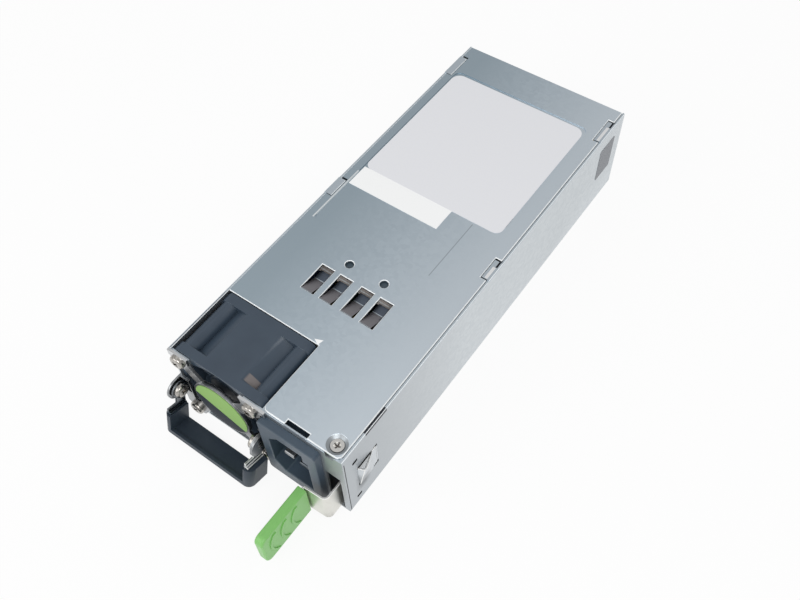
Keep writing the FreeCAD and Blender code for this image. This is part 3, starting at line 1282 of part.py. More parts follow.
def choke(middle, outer, bore, height, sectors):
    """Return a ring core and its windings, standing on the board."""
    low = BOARD_TOP + WINDING + WINDING_CLEAR
    core = ring_core(middle, outer, bore, height, low)
    windings = [ring_winding(middle, outer, bore, height, low, start, sweep) for start, sweep in sectors]
    return core, group(windings)


def boxed(sizes):
    """Return a boxed part with rounded uprights, such as a line capacitor or a relay."""
    return rounded(place(sizes[:4], sizes[4]), CASE_ROUND, V(0, 0, 1))


def y_capacitors():
    """Return the two disc capacitors beside the line choke."""
    z = BOARD_TOP + Y_CAPACITOR_R
    return group([rod(Y_CAPACITOR_R, (x, back(y), z), (x, back(y) + Y_CAPACITOR_THICK, z))
                  for x, y in Y_CAPACITORS])


def fuse_and_clips():
    """Return the tube fuse and, apart from it, its two clips."""
    y, z = back(FUSE_BACK), BOARD_TOP + FUSE_R + FUSE_LIFT
    right = FUSE_LEFT + FUSE_LENGTH
    body = rod(FUSE_R - 2 * FIT, (FUSE_LEFT, y, z), (right, y, z))
    caps = [rod(FUSE_R, (x, y, z), (x + FUSE_CAP, y, z)) for x in (FUSE_LEFT, right - FUSE_CAP)]
    inset = (FUSE_CAP - CLIP_LENGTH) / 2
    grip = FUSE_R + CLIP_WALL
    mouth = FUSE_R * CLIP_MOUTH_SHARE
    clips = []
    for x in (FUSE_LEFT + inset, right - inset - CLIP_LENGTH):
        start, end = x - PAST, x + CLIP_LENGTH + PAST
        block = box((x, x + CLIP_LENGTH), (y - grip, y + grip), (BOARD_TOP, z + FUSE_R * CLIP_RISE_SHARE))
        way_in = box((start, end), (y - mouth, y + mouth), (z, z + 2 * FUSE_R))
        clips.append(cut(block, [rod(FUSE_R, (start, y, z), (end, y, z)), way_in]))
    return fuse([body, *caps]), group(clips)


def heat_sink(sizes):
    """Return a finned heat sink that stands on the board."""
    x, start, length = sizes
    front, rear = back(start), back(start + length)
    top = BOARD_TOP + SINK_HEIGHT
    wall = box((x, x + HEAT_SINK_THICK), (front, rear), (BOARD_TOP, top))
    fins = []
    for number in range(SINK_FINS):
        z = top - SINK_FIN_THICK - number * SINK_FIN_PITCH
        fins.append(box((x, x + SINK_FIN_WIDTH), (front, rear), (z, z + SINK_FIN_THICK)))
    return fuse([wall, *fins])


def standby_transformer():
    """Return the small standby transformer: a block on a narrower base."""
    left, right, front, rear, height = STANDBY
    block = place((left, right, front, rear), height)
    inset = STANDBY_BASE / 2
    waist = place((left + inset, right - inset, front - PAST, rear + PAST), STANDBY_BASE)
    lower = place((left - PAST, right + PAST, front - PAST, rear + PAST), STANDBY_BASE)
    return rounded(block, CASE_ROUND, V(0, 0, 1)).cut(lower.cut(waist))


def flat_package(x, y, size, side):
    """Return a flat power package whose back lies on a heat sink face."""
    thick, width, height = size
    low = BOARD_TOP + PACKAGE_LIFT
    return box(sorted((x, x + side * thick)), (y, y + width), (low, low + height))


def pfc_transistors():
    """Return the switching transistors on the first heat sink."""
    x = PFC_SINK[0] + HEAT_SINK_THICK
    return group([flat_package(x, back(PFC_SINK[1] + start), TRANSISTOR, 1) for start in TRANSISTORS])


def output_rectifiers():
    """Return the row of output rectifiers that fills the second heat sink."""
    x, start, length = OUTPUT_SINK
    count = max(1, round((length - RECTIFIER_INSET) / RECTIFIER_PITCH))
    first = start + RECTIFIER_INSET
    return group([flat_package(x, back(first + n * RECTIFIER_PITCH), RECTIFIER, -1) for n in range(count)])


def can(radius, height, x, y, round_r):
    """Return a capacitor can on the board with its top rim rounded."""
    high = BOARD_TOP + height
    body = rod(radius, (x, y, BOARD_TOP), (x, y, high))
    return body.makeFillet(round_r, [edge for edge in body.Edges if abs(edge.CenterOfMass.z - high) < 1e-6])


def bulk_capacitor(middle):
    """Return one large capacitor can with a crimped neck."""
    x, y = middle[0], back(middle[1])
    low = BOARD_TOP + CRIMP_LOW
    crimp = tube(BULK_CAPACITOR_R + PAST, BULK_CAPACITOR_R - CRIMP_DEPTH, (x, y, low),
                 (x, y, low + CRIMP_WIDTH))
    return can(BULK_CAPACITOR_R, BULK_CAPACITOR_HEIGHT, x, y, CAN_ROUND).cut(crimp)


def transformer():
    """Return the transformer's core and its wound bobbin."""
    left, right, front, rear, height = TRANSFORMER
    y = (back(front), back(rear))
    low = BOARD_TOP
    inside = (y[0] + CORE_INSET, y[1] - CORE_INSET)
    outer = box((left, right), inside, (low, low + height))
    leg = TRANSFORMER_LEG
    window = box((left + leg, right - leg), (y[0], y[1]), (low + leg, low + height - leg))
    middle = box(((left + right) / 2 - leg / 2, (left + right) / 2 + leg / 2), inside,
                 (low + leg, low + height - leg))
    core = outer.cut(window).fuse(middle).removeSplitter()
    bobbin = box((left + leg + FIT, right - leg - FIT), y, (low + leg + FIT, low + height - leg - FIT))
    bobbin = bobbin.cut(box((middle.BoundBox.XMin - FIT, middle.BoundBox.XMax + FIT),
                            (inside[0] - FIT, inside[1] + FIT), (low, low + height)))
    bobbin = fuse([bobbin, box((left + leg + FIT, right - leg - FIT), (y[0], y[0] + BOBBIN_END),
                               (low, low + height - leg - FIT))])
    return core, bobbin


def output_capacitors():
    """Return the row of small output capacitor cans."""
    y = back(OUTPUT_CAPACITOR_BACK)
    return group([can(OUTPUT_CAPACITOR_R, OUTPUT_CAPACITOR_HEIGHT, x, y, OUTPUT_CAPACITOR_ROUND)
                  for x in OUTPUT_CAPACITORS])


def control_card():
    """Return the upright control card and, apart from it, the chips that its length holds."""
    x, start, length, height = CONTROL_CARD
    card = box((x, x + CONTROL_CARD_THICK), (back(start), back(start + length)),
               (BOARD_TOP, BOARD_TOP + height))
    chips = []
    face = x + CONTROL_CARD_THICK
    for across, up, size in CONTROL_CHIPS:
        if across + size < length:
            y, z = back(start) + across, BOARD_TOP + up
            chips.append(box((face, face + CHIP_THICK), (y, y + size), (z, z + size)))
    return card, group(chips)


def card_posts():
    """Return the posts that carry the output card."""
    y, side = back(CARD_FRONT + CARD_POST_INSET), CARD_HALF - CARD_POST_SIDE
    return group([rod(CARD_POST_R, (x, y, BOARD_TOP), (x, y, CARD_Z)) for x in (-side, 0.0, side)])


def output_card():
    """Return the output card that stands out of the rear as an edge plug."""
    card = box((-CARD_HALF, CARD_HALF), (back(CARD_FRONT), BACK + CARD_REACH),
               (CARD_Z, CARD_Z + BOARD_THICK))
    rear = [edge for edge in card.Edges if along(edge, V(1, 0, 0)) and edge.CenterOfMass.y > BACK]
    return card.makeChamfer(CARD_CHAMFER, rear)


def output_contacts():
    """Return the contact pads on both faces of the output card."""
    pads = []
    pitch = 2 * (CARD_HALF - CARD_CONTACT_MARGIN) / CARD_CONTACTS
    rear = BACK + CARD_REACH - CARD_CONTACT_END
    for low in (CARD_Z - CARD_CONTACT_THICK, CARD_Z + BOARD_THICK):
        for number in range(CARD_CONTACTS):
            x = (number - (CARD_CONTACTS - 1) / 2) * pitch
            pads.append(box((x - CARD_CONTACT_WIDTH / 2, x + CARD_CONTACT_WIDTH / 2),
                            (rear - CARD_CONTACT_LENGTH, rear),
                            (low, low + CARD_CONTACT_THICK)))
    return group(pads)


def fan_connector():
    """Return the header on the board and the plug that sits on it."""
    x, y, width, depth = FAN_PLUG
    header = box((x - width / 2, x + width / 2), (back(y) - depth / 2, back(y) + depth / 2),
                 (BOARD_TOP, BOARD_TOP + FAN_HEADER_HEIGHT))
    low = BOARD_TOP + FAN_HEADER_HEIGHT
    half_w, half_d = width / 2 - FAN_PLUG_INSET, depth / 2 - FAN_PLUG_INSET
    plug = box((x - half_w, x + half_w), (back(y) - half_d, back(y) + half_d), (low, low + FAN_PLUG_HEIGHT))
    return header, plug


def fan_lead():
    """Return the sleeved lead from the fan's rear to its plug: a straight, an arc and a short drop."""
    x, y = FAN_PLUG[0], back(FAN_PLUG[1])
    top = BOARD_TOP + FAN_HEADER_HEIGHT + FAN_PLUG_HEIGHT
    bend = FAN_LEAD_BEND
    high = top + FAN_LEAD_DROP + bend
    turn = math.sqrt(0.5) * bend
    start, first = V(x, FAN_BACK, high), V(x, y - bend, high)
    middle, last = V(x, y - bend + turn, high - bend + turn), V(x, y, high - bend)
    edges = [
        Part.LineSegment(start, first).toShape(),
        Part.Arc(first, middle, last).toShape(),
        Part.LineSegment(last, V(x, y, top)).toShape(),
    ]
    profile = Part.Wire(Part.makeCircle(FAN_LEAD_R, start, V(0, 1, 0)).Edges)
    lead = Part.Wire(edges).makePipeShell([profile], True, True)
    length = sum(edge.Length for edge in edges)
    ratio = lead.Volume / (math.pi * FAN_LEAD_R ** 2 * length)
    print(f"fan lead bend {bend:.1f} length {length:.1f} ratio {ratio:.3f}")
    return lead


# Labels

def top_label(sizes, radius):
    """Return a blank label in the cover's recess."""
    left, right, front, rear = sizes
    low = COVER_TOP - RECESS_DEPTH
    return slab((left, right), (back(front), back(rear)), (low, low + LABEL_THICK), radius)


def side_patch():
    """Return the blank patch on the right wall."""
    front, rear, low, high = SIDE_PATCH
    patch = box((HALF, HALF + LABEL_THICK), (back(front), back(rear)), (low, high))
    return rounded(patch, SIDE_PATCH_R, V(1, 0, 0))


def save_case():
    """Write the tray, cover and labels."""
    save("tray", tray())
    save("cover", cover())
    save("cover_screw", cover_screw())
    save("rating_label", top_label(RATING_LABEL, RATING_LABEL_R))
    save("strip_label", top_label(STRIP_LABEL, STRIP_LABEL_R))
    save("side_patch", side_patch())


def save_fan():
    """Write the fan's pieces."""
    save("fan_frame", fan_frame())
    save("fan_stator", fan_stator())
    save("fan_bearings", fan_bearings())
    save("fan_rotor", fan_rotor())
    save("fan_shaft", fan_shaft())
    save("fan_magnet", fan_magnet())
    save("fan_guard", fan_guard())
    save("guard_label", guard_label())
    save("fan_screws", fan_screws())
    header, plug = fan_connector()
    save("fan_header", header)
    save("fan_plug", plug)
    save("fan_lead", fan_lead())


def save_handle():
    """Write the bail handle and its pivots."""
    save("handle_pivot_left", pivot_screw(EAR_LEFT_X, 1))
    save("handle_pivot_right", pivot_screw(EAR_RIGHT_X, -1))
    save("handle_arm_left", handle_arm(arm_left_x()))
    save("handle_arm_right", handle_arm(arm_right_x()))
    save("handle_grip", handle_grip())


def save_inlet():
    """Write the inlet and its pins."""
    save("inlet_housing", inlet_housing())
    for name, values in pin_places().items():
        save(name, inlet_pin(*values))


def save_latch():
    """Write the latch strip, its fixed foot and its grip."""
    spring = latch_spring()
    save("latch_spring", spring)
    save("latch_foot", latch_foot())
    save("latch_grip", latch_grip(spring))


def save_boards():
    """Write the boards and what carries them."""
    save("main_board", main_board())
    save("insulator_sheet", insulator_sheet())
    save("board_standoffs", board_standoffs())
    save("board_screws", board_screws())
    card, chips = control_card()
    save("control_card", card)
    save("control_chips", chips)
    save("output_card", output_card())
    save("output_contacts", output_contacts())
    save("output_card_posts", card_posts())


def save_power_parts():
    """Write the power parts on the main board."""
    core, windings = choke(CM_CHOKE, CM_CHOKE_R, CM_CHOKE_BORE, CM_CHOKE_HEIGHT, CM_WINDINGS)
    save("line_choke_core", core)
    save("line_choke_windings", windings)
    core, windings = choke(PFC_CHOKE, PFC_CHOKE_R, PFC_CHOKE_BORE, PFC_CHOKE_HEIGHT, PFC_WINDINGS)
    save("boost_choke_core", core)
    save("boost_choke_winding", windings)
    save("x_capacitor", boxed(X_CAPACITOR))
    save("y_capacitors", y_capacitors())
    save("inrush_relay", boxed(RELAY))
    tube_fuse, clips = fuse_and_clips()
    save("fuse", tube_fuse)
    save("fuse_clips", clips)
    save("boost_heat_sink", heat_sink(PFC_SINK))
    save("bridge_rectifier", flat_package(PFC_SINK[0], back(PFC_SINK[1] + BRIDGE_INSET), BRIDGE, -1))
    save("boost_transistors", pfc_transistors())
    save("output_heat_sink", heat_sink(OUTPUT_SINK))
    save("output_rectifiers", output_rectifiers())
    for number, middle in enumerate(BULK_CAPACITORS, 1):
        save(f"bulk_capacitor_{number}", bulk_capacitor(middle))
    save("standby_transformer", standby_transformer())
    save("resonant_choke", boxed(RESONANT_CHOKE))
    core, bobbin = transformer()
    save("transformer_core", core)
    save("transformer_bobbin", bobbin)
    save("output_capacitors", output_capacitors())


save_case()
save_fan()
save_handle()
save_inlet()
save_latch()
save_boards()
save_power_parts()
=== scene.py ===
import logging
import math
from dataclasses import dataclass, field, replace
from enum import Enum
from functools import cache
from typing import Callable, Sequence

import bmesh
import bpy
from mathutils import Matrix, Vector


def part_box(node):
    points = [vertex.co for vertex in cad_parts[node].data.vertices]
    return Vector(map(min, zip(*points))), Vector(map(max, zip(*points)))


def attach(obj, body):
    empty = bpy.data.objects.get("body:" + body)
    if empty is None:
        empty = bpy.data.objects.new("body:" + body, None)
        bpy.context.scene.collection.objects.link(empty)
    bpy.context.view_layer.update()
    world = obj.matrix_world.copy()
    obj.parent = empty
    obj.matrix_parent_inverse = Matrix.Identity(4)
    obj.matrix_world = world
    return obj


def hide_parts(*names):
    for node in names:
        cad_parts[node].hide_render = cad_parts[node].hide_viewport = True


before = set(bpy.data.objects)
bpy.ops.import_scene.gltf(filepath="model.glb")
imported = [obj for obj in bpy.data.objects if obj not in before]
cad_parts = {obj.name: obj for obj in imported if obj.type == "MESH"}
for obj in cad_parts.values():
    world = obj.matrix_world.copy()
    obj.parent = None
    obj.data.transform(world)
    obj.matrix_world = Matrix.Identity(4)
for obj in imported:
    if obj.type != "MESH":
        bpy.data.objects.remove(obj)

LOG = logging.getLogger("power_supply")
MM = 0.001
# The face attribute that marks rounded rims, which get a painted highlight.
HIGHLIGHT_RIM = "highlight_rim"
# How far a zone reaches past the surface that it colours, in millimetres.
OVER = 1.0
# How wide a fine mark's edge fades, in millimetres.
FINE = 0.05
# The wave texture's wave length at scale 1.
WAVE = 0.314
# What counts as one point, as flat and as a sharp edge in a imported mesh.
MERGE = 0.002 * MM
FLAT = math.radians(0.5)
SHARP = math.radians(35.0)
# How much of a unit normal has to face a way, and how little for an upright face.
FACING = 0.97
UPRIGHT = 0.3
Point = tuple[float, float, float]
Colour = tuple[float, float, float]
Reach = tuple[float, float]
Socket = bpy.types.NodeSocket
Mesh = bmesh.types.BMesh
Edge = bmesh.types.BMEdge
Picker = Callable[[Edge], bool]


class Axis(Enum):
    """The row frame's axes, as the shader nodes name them."""

    X = 0
    Y = 1
    Z = 2


class Body(Enum):
    """The bodies that the pieces made here ride on, by their names in the record."""

    CASE = "case"
    HANDLE = "bail_handle"
    LATCH = "side_latch"


def linear(red: int, green: int, blue: int) -> Colour:
    """Turn a screen colour into the linear values that shaders take.

    Args:
        red: Red from 0 to 255.
        green: Green from 0 to 255.
        blue: Blue from 0 to 255.

    Returns:
        The linear colour.
    """
    values = []
    for part in (red, green, blue):
        share = part / 255.0
        values.append(share / 12.92 if share <= 0.04045 else ((share + 0.055) / 1.055) ** 2.4)
    return values[0], values[1], values[2]


class Shader:
    """A material under construction around one Principled shader."""

    def __init__(self, name: str) -> None:
        """Start an empty material with its Principled shader.

        Args:
            name: The material's name.
        """
        self.material = bpy.data.materials.new(name)
        self.material.use_nodes = True
        self.tree = self.material.node_tree
        self.surface = self.tree.nodes["Principled BSDF"]
        self.coordinates = None

    def set(self, **values: float) -> None:
        """Set constant values on the Principled shader, with underscores for spaces."""
        for name, value in values.items():
            self.surface.inputs[name.replace("_", " ")].default_value = value

    def feed(self, socket: Socket, value: object) -> None:
        """Link another node's output to a socket, or set a constant there.

        Args:
            socket: The socket.
            value: The output or the constant.
        """
        if isinstance(value, Socket):
            self.tree.links.new(value, socket)
        else:
            socket.default_value = value

    def paint(self, name: str, value: object) -> None:
        """Feed one of the Principled shader's sockets."""
        self.feed(self.surface.inputs[name], value)

    def mapped(self, kind: str, stretch: Point = (1.0, 1.0, 1.0), **values: float) -> bpy.types.Node:
        """Make a node that reads Object coordinates in millimetres.

        Args:
            kind: The node's type.
            stretch: How much its pattern is squeezed along each axis.
            **values: Its constant inputs.

        Returns:
            The node.
        """
        node = self.tree.nodes.new(kind)
        for name, value in values.items():
            node.inputs[name].default_value = value
        if self.coordinates is None:
            self.coordinates = self.tree.nodes.new("ShaderNodeTexCoord").outputs["Object"]
        mapping = self.tree.nodes.new("ShaderNodeMapping")
        mapping.inputs["Scale"].default_value = tuple(part / MM for part in stretch)
        self.tree.links.new(self.coordinates, mapping.inputs["Vector"])
        self.tree.links.new(mapping.outputs["Vector"], node.inputs["Vector"])
        return node

    def noise(self, scale: float, detail: float = 2.0, stretch: Point = (1.0, 1.0, 1.0)) -> Socket:
        """Return smooth noise from 0 to 1, its scale in waves per millimetre and its detail in octaves."""
        return self.mapped("ShaderNodeTexNoise", stretch, Scale=scale, Detail=detail).outputs["Fac"]

    def cells(self, scale: float) -> Socket:
        """Return one random grey for each cell of a crystal pattern.

        Args:
            scale: Cells per millimetre.

        Returns:
            A value from 0 to 1.
        """
        node = self.mapped("ShaderNodeTexVoronoi", Scale=scale)
        parts = self.tree.nodes.new("ShaderNodeSeparateColor")
        self.tree.links.new(node.outputs["Color"], parts.inputs["Color"])
        return parts.outputs["Red"]

    def span(self, source: Socket, side: str, low: float, high: float) -> Socket:
        """Map a value with one side of the range node set and the other left at 0 to 1.

        Args:
            source: The value.
            side: The side that is set, "From" or "To".
            low: That side's lower end.
            high: That side's upper end.

        Returns:
            The mapped and clamped value.
        """
        node = self.tree.nodes.new("ShaderNodeMapRange")
        node.inputs[f"{side} Min"].default_value = low
        node.inputs[f"{side} Max"].default_value = high
        self.tree.links.new(source, node.inputs["Value"])
        return node.outputs["Result"]

    def ramp(self, source: Socket, low: float, high: float) -> Socket:
        """Spread a 0 to 1 value between two numbers."""
        return self.span(source, "To", low, high)

    def sharpen(self, source: Socket, start: float, end: float) -> Socket:
        """Stretch what lies between two numbers to 0 to 1."""
        return self.span(source, "From", start, end)

    def bump(self, source: Socket, depth: float) -> None:
        """Raise the surface by a value.

        Args:
            source: The height from 0 to 1.
            depth: The full height in millimetres.
        """
        node = self.tree.nodes.new("ShaderNodeBump")
        node.inputs["Distance"].default_value = depth * MM
        self.tree.links.new(source, node.inputs["Height"])
        self.paint("Normal", node.outputs["Normal"])

    def along(self, axis: Axis) -> Socket:
        """Return one Object coordinate in millimetres."""
        return self.mapped("ShaderNodeSeparateXYZ").outputs[axis.name]

    def attribute(self, name: str) -> Socket:
        """Return a number kept with the mesh.

        Args:
            name: The attribute's name.

        Returns:
            The number, 0 where there is none.
        """
        node = self.tree.nodes.new("ShaderNodeAttribute")
        node.attribute_name = name
        return node.outputs["Fac"]

    def reckon(self, operation: str, first: Socket, second: object) -> Socket:
        """Combine two values, the second of which may be a plain number.

        Args:
            operation: The math node's operation.
            first: The first value.
            second: The second value or number.

        Returns:
            The result.
        """
        node = self.tree.nodes.new("ShaderNodeMath")
        node.operation = operation
        self.tree.links.new(first, node.inputs[0])
        self.feed(node.inputs[1], second)
        return node.outputs["Value"]

    def within(self, source: Socket, low: float, high: float, soft: float) -> Socket:
        """Return 1 where a value lies between two limits, fading over a soft edge.

        Args:
            source: The value.
            low: The lower limit.
            high: The upper limit.
            soft: The width of the fade.

        Returns:
            A value from 0 to 1.
        """
        rise = self.sharpen(source, low - soft, low)
        fall = self.sharpen(source, high + soft, high)
        return self.reckon("MULTIPLY", rise, fall)

    def cover(self, share: Socket, base: object, tone: Colour) -> Socket:
        """Lay a constant colour over another by a value.

        Args:
            share: The value, 0 for the base.
            base: The colour below, constant or from a node.
            tone: The colour on top.

        Returns:
            The mixed colour.
        """
        node = self.tree.nodes.new("ShaderNodeMix")
        node.data_type = "RGBA"
        self.feed(node.inputs["A"], (*base, 1.0) if isinstance(base, tuple) else base)
        node.inputs["B"].default_value = (*tone, 1.0)
        self.tree.links.new(share, node.inputs["Factor"])
        return node.outputs[2]


@dataclass(frozen=True)
class Zone:
    """A box inside which a finish has another tone, by its reach along each axis in millimetres."""

    x: Reach
    y: Reach
    z: Reach
    tone: Colour
    soft: float = 0.08

    def share(self, shader: Shader) -> Socket:
        """Return 1 inside the box and 0 outside it.

        Args:
            shader: The material under construction.

        Returns:
            A value from 0 to 1.
        """
        parts = [shader.within(shader.along(axis), *reach, self.soft)
                 for axis, reach in zip(Axis, (self.x, self.y, self.z))]
        return shader.reckon("MULTIPLY", shader.reckon("MULTIPLY", parts[0], parts[1]), parts[2])


def moved(reach: Reach, step: float) -> Reach:
    """Return a reach that is moved along its axis."""
    return reach[0] + step, reach[1] + step


def around(middle: float, half: float) -> Reach:
    """Return the reach to both sides of a middle."""
    return middle - half, middle + half


@dataclass(frozen=True)
class Finish:
    """A surface: its two tones, zones, the painted highlight on bevelled rims, and the grain in its gloss and height.
    """

    name: str
    dark: Colour
    pale: Colour
    roughness: float = 0.4
    zones: tuple[Zone, ...] = ()
    highlight_rim: Colour | None = None
    metallic: float = 0.0
    grain: float = 4.0
    detail: float = 2.0
    streak: Point = (1.0, 1.0, 1.0)
    swing: Reach = (-0.06, 0.06)
    depth: float = 0.01

    def pattern(self, shader: Shader) -> Socket:
        """Set the grain, which changes the gloss and raises the surface.

        Args:
            shader: The material under construction.

        Returns:
            The value that mixes the dark and the pale tone.
        """
        shader.set(Metallic=self.metallic)
        grain = shader.noise(self.grain, self.detail, self.streak)
        shader.paint("Roughness", shader.ramp(grain, *moved(self.swing, self.roughness)))
        shader.bump(grain, self.depth)
        return self.blend(shader, grain)

    def blend(self, shader: Shader, grain: Socket) -> Socket:
        """Return what mixes the two tones, here the grain itself."""
        return grain

    def material(self) -> bpy.types.Material:
        """Build the material: the tones, the zones over them and the painted highlight on the rims over all.

        Returns:
            The material.
        """
        shader = Shader(self.name)
        tone = shader.cover(self.pattern(shader), self.dark, self.pale)
        for zone in self.zones:
            tone = shader.cover(zone.share(shader), tone, zone.tone)
        # The rounded rims get a painted highlight: a pale tone laid over all, with the metal turned off there.
        if self.highlight_rim is not None:
            share = shader.attribute(HIGHLIGHT_RIM)
            tone = shader.cover(share, tone, self.highlight_rim)
            shader.paint("Metallic", shader.ramp(share, self.metallic, 0.0))
        shader.paint("Base Color", tone)
        return shader.material


@dataclass(frozen=True)
class SheetMetal(Finish):
    """Zinc-coated or plated sheet: crystal spangle, rolling streaks and soft dents."""

    metallic: float = 1.0
    grain: float = 2.2
    detail: float = 3.0
    streak: Point = (1.0, 0.12, 1.0)
    swing: Reach = (-0.07, 0.07)
    depth: float = 0.004
    spangle: float = 0.7
    contrast: Reach = (0.25, 0.75)

    def blend(self, shader: Shader, grain: Socket) -> Socket:
        """Return the crystals of the zinc."""
        return shader.ramp(shader.cells(self.spangle), *self.contrast)


@dataclass(frozen=True)
class Moulded(Finish):
    """Moulded plastic with a fine eroded grain and slight colour drift."""

    drift: float = 0.12

    def blend(self, shader: Shader, grain: Socket) -> Socket:
        """Return the colour drift."""
        return shader.noise(self.drift)


@dataclass(frozen=True)
class Plated(Finish):
    """Bright plated or turned metal with light scuffs."""

    metallic: float = 1.0
    grain: float = 1.5
    detail: float = 4.0
    swing: Reach = (-0.08, 0.12)
    depth: float = 0.002


@dataclass(frozen=True)
class Paper(Finish):
    """A blank printed label with faint fibre and a slight sheen."""

    grain: float = 1.8
    detail: float = 3.0
    swing: Reach = (-0.05, 0.05)
    depth: float = 0.002


@dataclass(frozen=True)
class SplitPaper(Paper):
    """A dull label with the pale tone above a sloping line and the dark tone below it."""

    centre: Point = (0.0, 0.0, 0.0)
    slope: float = 0.0
    offset: float = 0.0
    half_line: float = 0.1
    specular: float = 0.1

    def blend(self, shader: Shader, grain: Socket) -> Socket:
        """Dull the paper and find the side of the line.

        Args:
            shader: The material under construction.
            grain: The fibre, which has no part in the colour.

        Returns:
            grain: The fibre, which is not used here and has no part in the colour.
        """
        shader.set(Specular_IOR_Level=self.specular)
        across = shader.reckon("SUBTRACT", shader.along(Axis.X), self.centre[0])
        up = shader.reckon("SUBTRACT", shader.along(Axis.Z), self.centre[2] + self.offset)
        above = shader.reckon("SUBTRACT", up, shader.reckon("MULTIPLY", across, self.slope))
        return shader.sharpen(above, *around(0.0, self.half_line))


@dataclass(frozen=True)
class Windings(Finish):
    """Enamelled wire laid side by side."""

    metallic: float = 0.7
    depth: float = 0.15
    pitch: float = 0.6
    waver: float = 0.6

    def pattern(self, shader: Shader) -> Socket:
        """Set the wires' waves, which raise the surface.

        Args:
            shader: The material under construction.

        Returns:
            The waves, which also mix the two tones.
        """
        wave = shader.mapped("ShaderNodeTexWave", Scale=WAVE / self.pitch, Distortion=self.waver).outputs["Fac"]
        shader.set(Metallic=self.metallic, Roughness=self.roughness)
        shader.bump(wave, self.depth)
        return wave


# Near-white painted highlight for the lock tabs' tops and the latch tooth's top edge.
HIGHLIGHT_WHITE = linear(252, 253, 254)
PRESSED_SHEET = Moulded("tooth_inside", linear(226, 229, 231), linear(234, 237, 239), 0.6)
# Nickel sheet in a darker, shaded copy for the left handle arm and a lighter, lit copy for the right one; the rim
# tones are painted highlights.
SHADED_NICKEL = SheetMetal("shaded_nickel_sheet", linear(104, 108, 112), linear(132, 136, 140), 0.3,
                    highlight_rim=linear(236, 236, 234), spangle=0.2)
LIT_NICKEL = SheetMetal("lit_nickel", linear(150, 154, 158), linear(180, 184, 188), 0.3,
                           highlight_rim=linear(226, 227, 226), spangle=0.2)
SCREW = Plated("screw_plate", linear(150, 146, 140), linear(206, 202, 196), 0.22)
PIN = Plated("pin_plate", linear(204, 204, 202), linear(228, 228, 226), 0.2)
DULL_PIN = Plated("dull_pin_plate", linear(150, 152, 154), linear(176, 178, 180), 0.35)
BRASS = Plated("brass", linear(190, 160, 90), linear(214, 186, 120), 0.3)
GOLD = Plated("gold_plate", linear(212, 176, 92), linear(232, 200, 124), 0.22)
STEEL = Plated("ground_steel", linear(150, 150, 152), linear(186, 186, 190), 0.3)
DARK_STEEL = Plated("dark_steel", linear(70, 72, 76), linear(100, 102, 108), 0.45)
ALUMINIUM = Plated("sink_aluminium", linear(190, 192, 196), linear(214, 216, 220), 0.4)
# The line and neutral pins' plating, painted darker than the earth pin's as shade in the inlet's cavity.
SHADED_LINE_PIN = Plated("shaded_line_pin_plate", linear(96, 102, 108), linear(116, 122, 128), 0.35)
FAN_PLASTIC = Moulded("fan_plastic", linear(52, 64, 78), linear(64, 78, 92), 0.36)
HOLE_FILM = Moulded("hole_film", linear(62, 76, 86), linear(70, 84, 94), 0.5)
HANDLE_PLASTIC = Moulded("handle_plastic", linear(42, 52, 64), linear(54, 65, 77), 0.45, grain=3.0, depth=0.02)
INLET_PLASTIC = Moulded("inlet_plastic", linear(58, 72, 86), linear(68, 83, 97), 0.42, highlight_rim=linear(74, 88, 100))
GREEN_PLASTIC = Moulded("green_plastic", linear(122, 186, 100), linear(134, 198, 112), 0.36, grain=2.0)
BLACK_PLASTIC = Moulded("package_plastic", linear(26, 27, 30), linear(36, 37, 41), 0.5)
NYLON = Moulded("nylon", linear(226, 222, 208), linear(238, 235, 224), 0.5)
BOARD = Moulded("board_mask", linear(24, 84, 50), linear(36, 104, 62), 0.35, grain=0.6)
INSULATION = Moulded("insulation", linear(214, 210, 196), linear(226, 222, 210), 0.5)
FERRITE = Moulded("ferrite", linear(52, 53, 56), linear(70, 71, 75), 0.7, grain=3.0, depth=0.03)
RING_COAT = Moulded("ring_coat", linear(48, 92, 62), linear(62, 110, 76), 0.55)
CAN_SLEEVE = Moulded("can_sleeve", linear(26, 32, 54), linear(36, 44, 70), 0.3)
FILM_CASE = Moulded("film_case", linear(206, 178, 60), linear(220, 194, 80), 0.4)
DISC_GLAZE = Moulded("disc_glaze", linear(44, 96, 184), linear(62, 116, 202), 0.25)
RELAY_CASE = Moulded("relay_case", linear(50, 62, 112), linear(64, 78, 130), 0.45)
TAPE = Moulded("winding_tape", linear(214, 186, 72), linear(228, 202, 96), 0.4)
CERAMIC = Moulded("fuse_ceramic", linear(224, 220, 210), linear(236, 233, 226), 0.5)
SLEEVE = Moulded("lead_sleeve", linear(24, 24, 27), linear(34, 34, 38), 0.6)
COPPER = Windings("copper_wire", linear(120, 62, 34), linear(206, 124, 78), 0.3)
TOP_LABEL = Paper("top_label", linear(230, 231, 235), linear(234, 235, 239), 0.45)
STRIP_LABEL = Paper("strip_label", linear(250, 252, 252), linear(254, 254, 254), 0.45)
PATCH_LABEL = Paper("patch_label", linear(122, 126, 132), linear(134, 138, 144), 0.45)


@cache
def material_of(finish: Finish) -> bpy.types.Material:
    """Return a finish's material, made once."""
    return finish.material()


def thicken(mesh: Mesh, height: float) -> None:
    """Raise a flat sheet into a plate.

    Args:
        mesh: The sheet's mesh.
        height: The plate's thickness in metres.
    """
    raised = bmesh.ops.extrude_face_region(mesh, geom=list(mesh.faces))
    top = [item for item in raised["geom"] if isinstance(item, bmesh.types.BMVert)]
    bmesh.ops.translate(mesh, verts=top, vec=(0.0, 0.0, height))


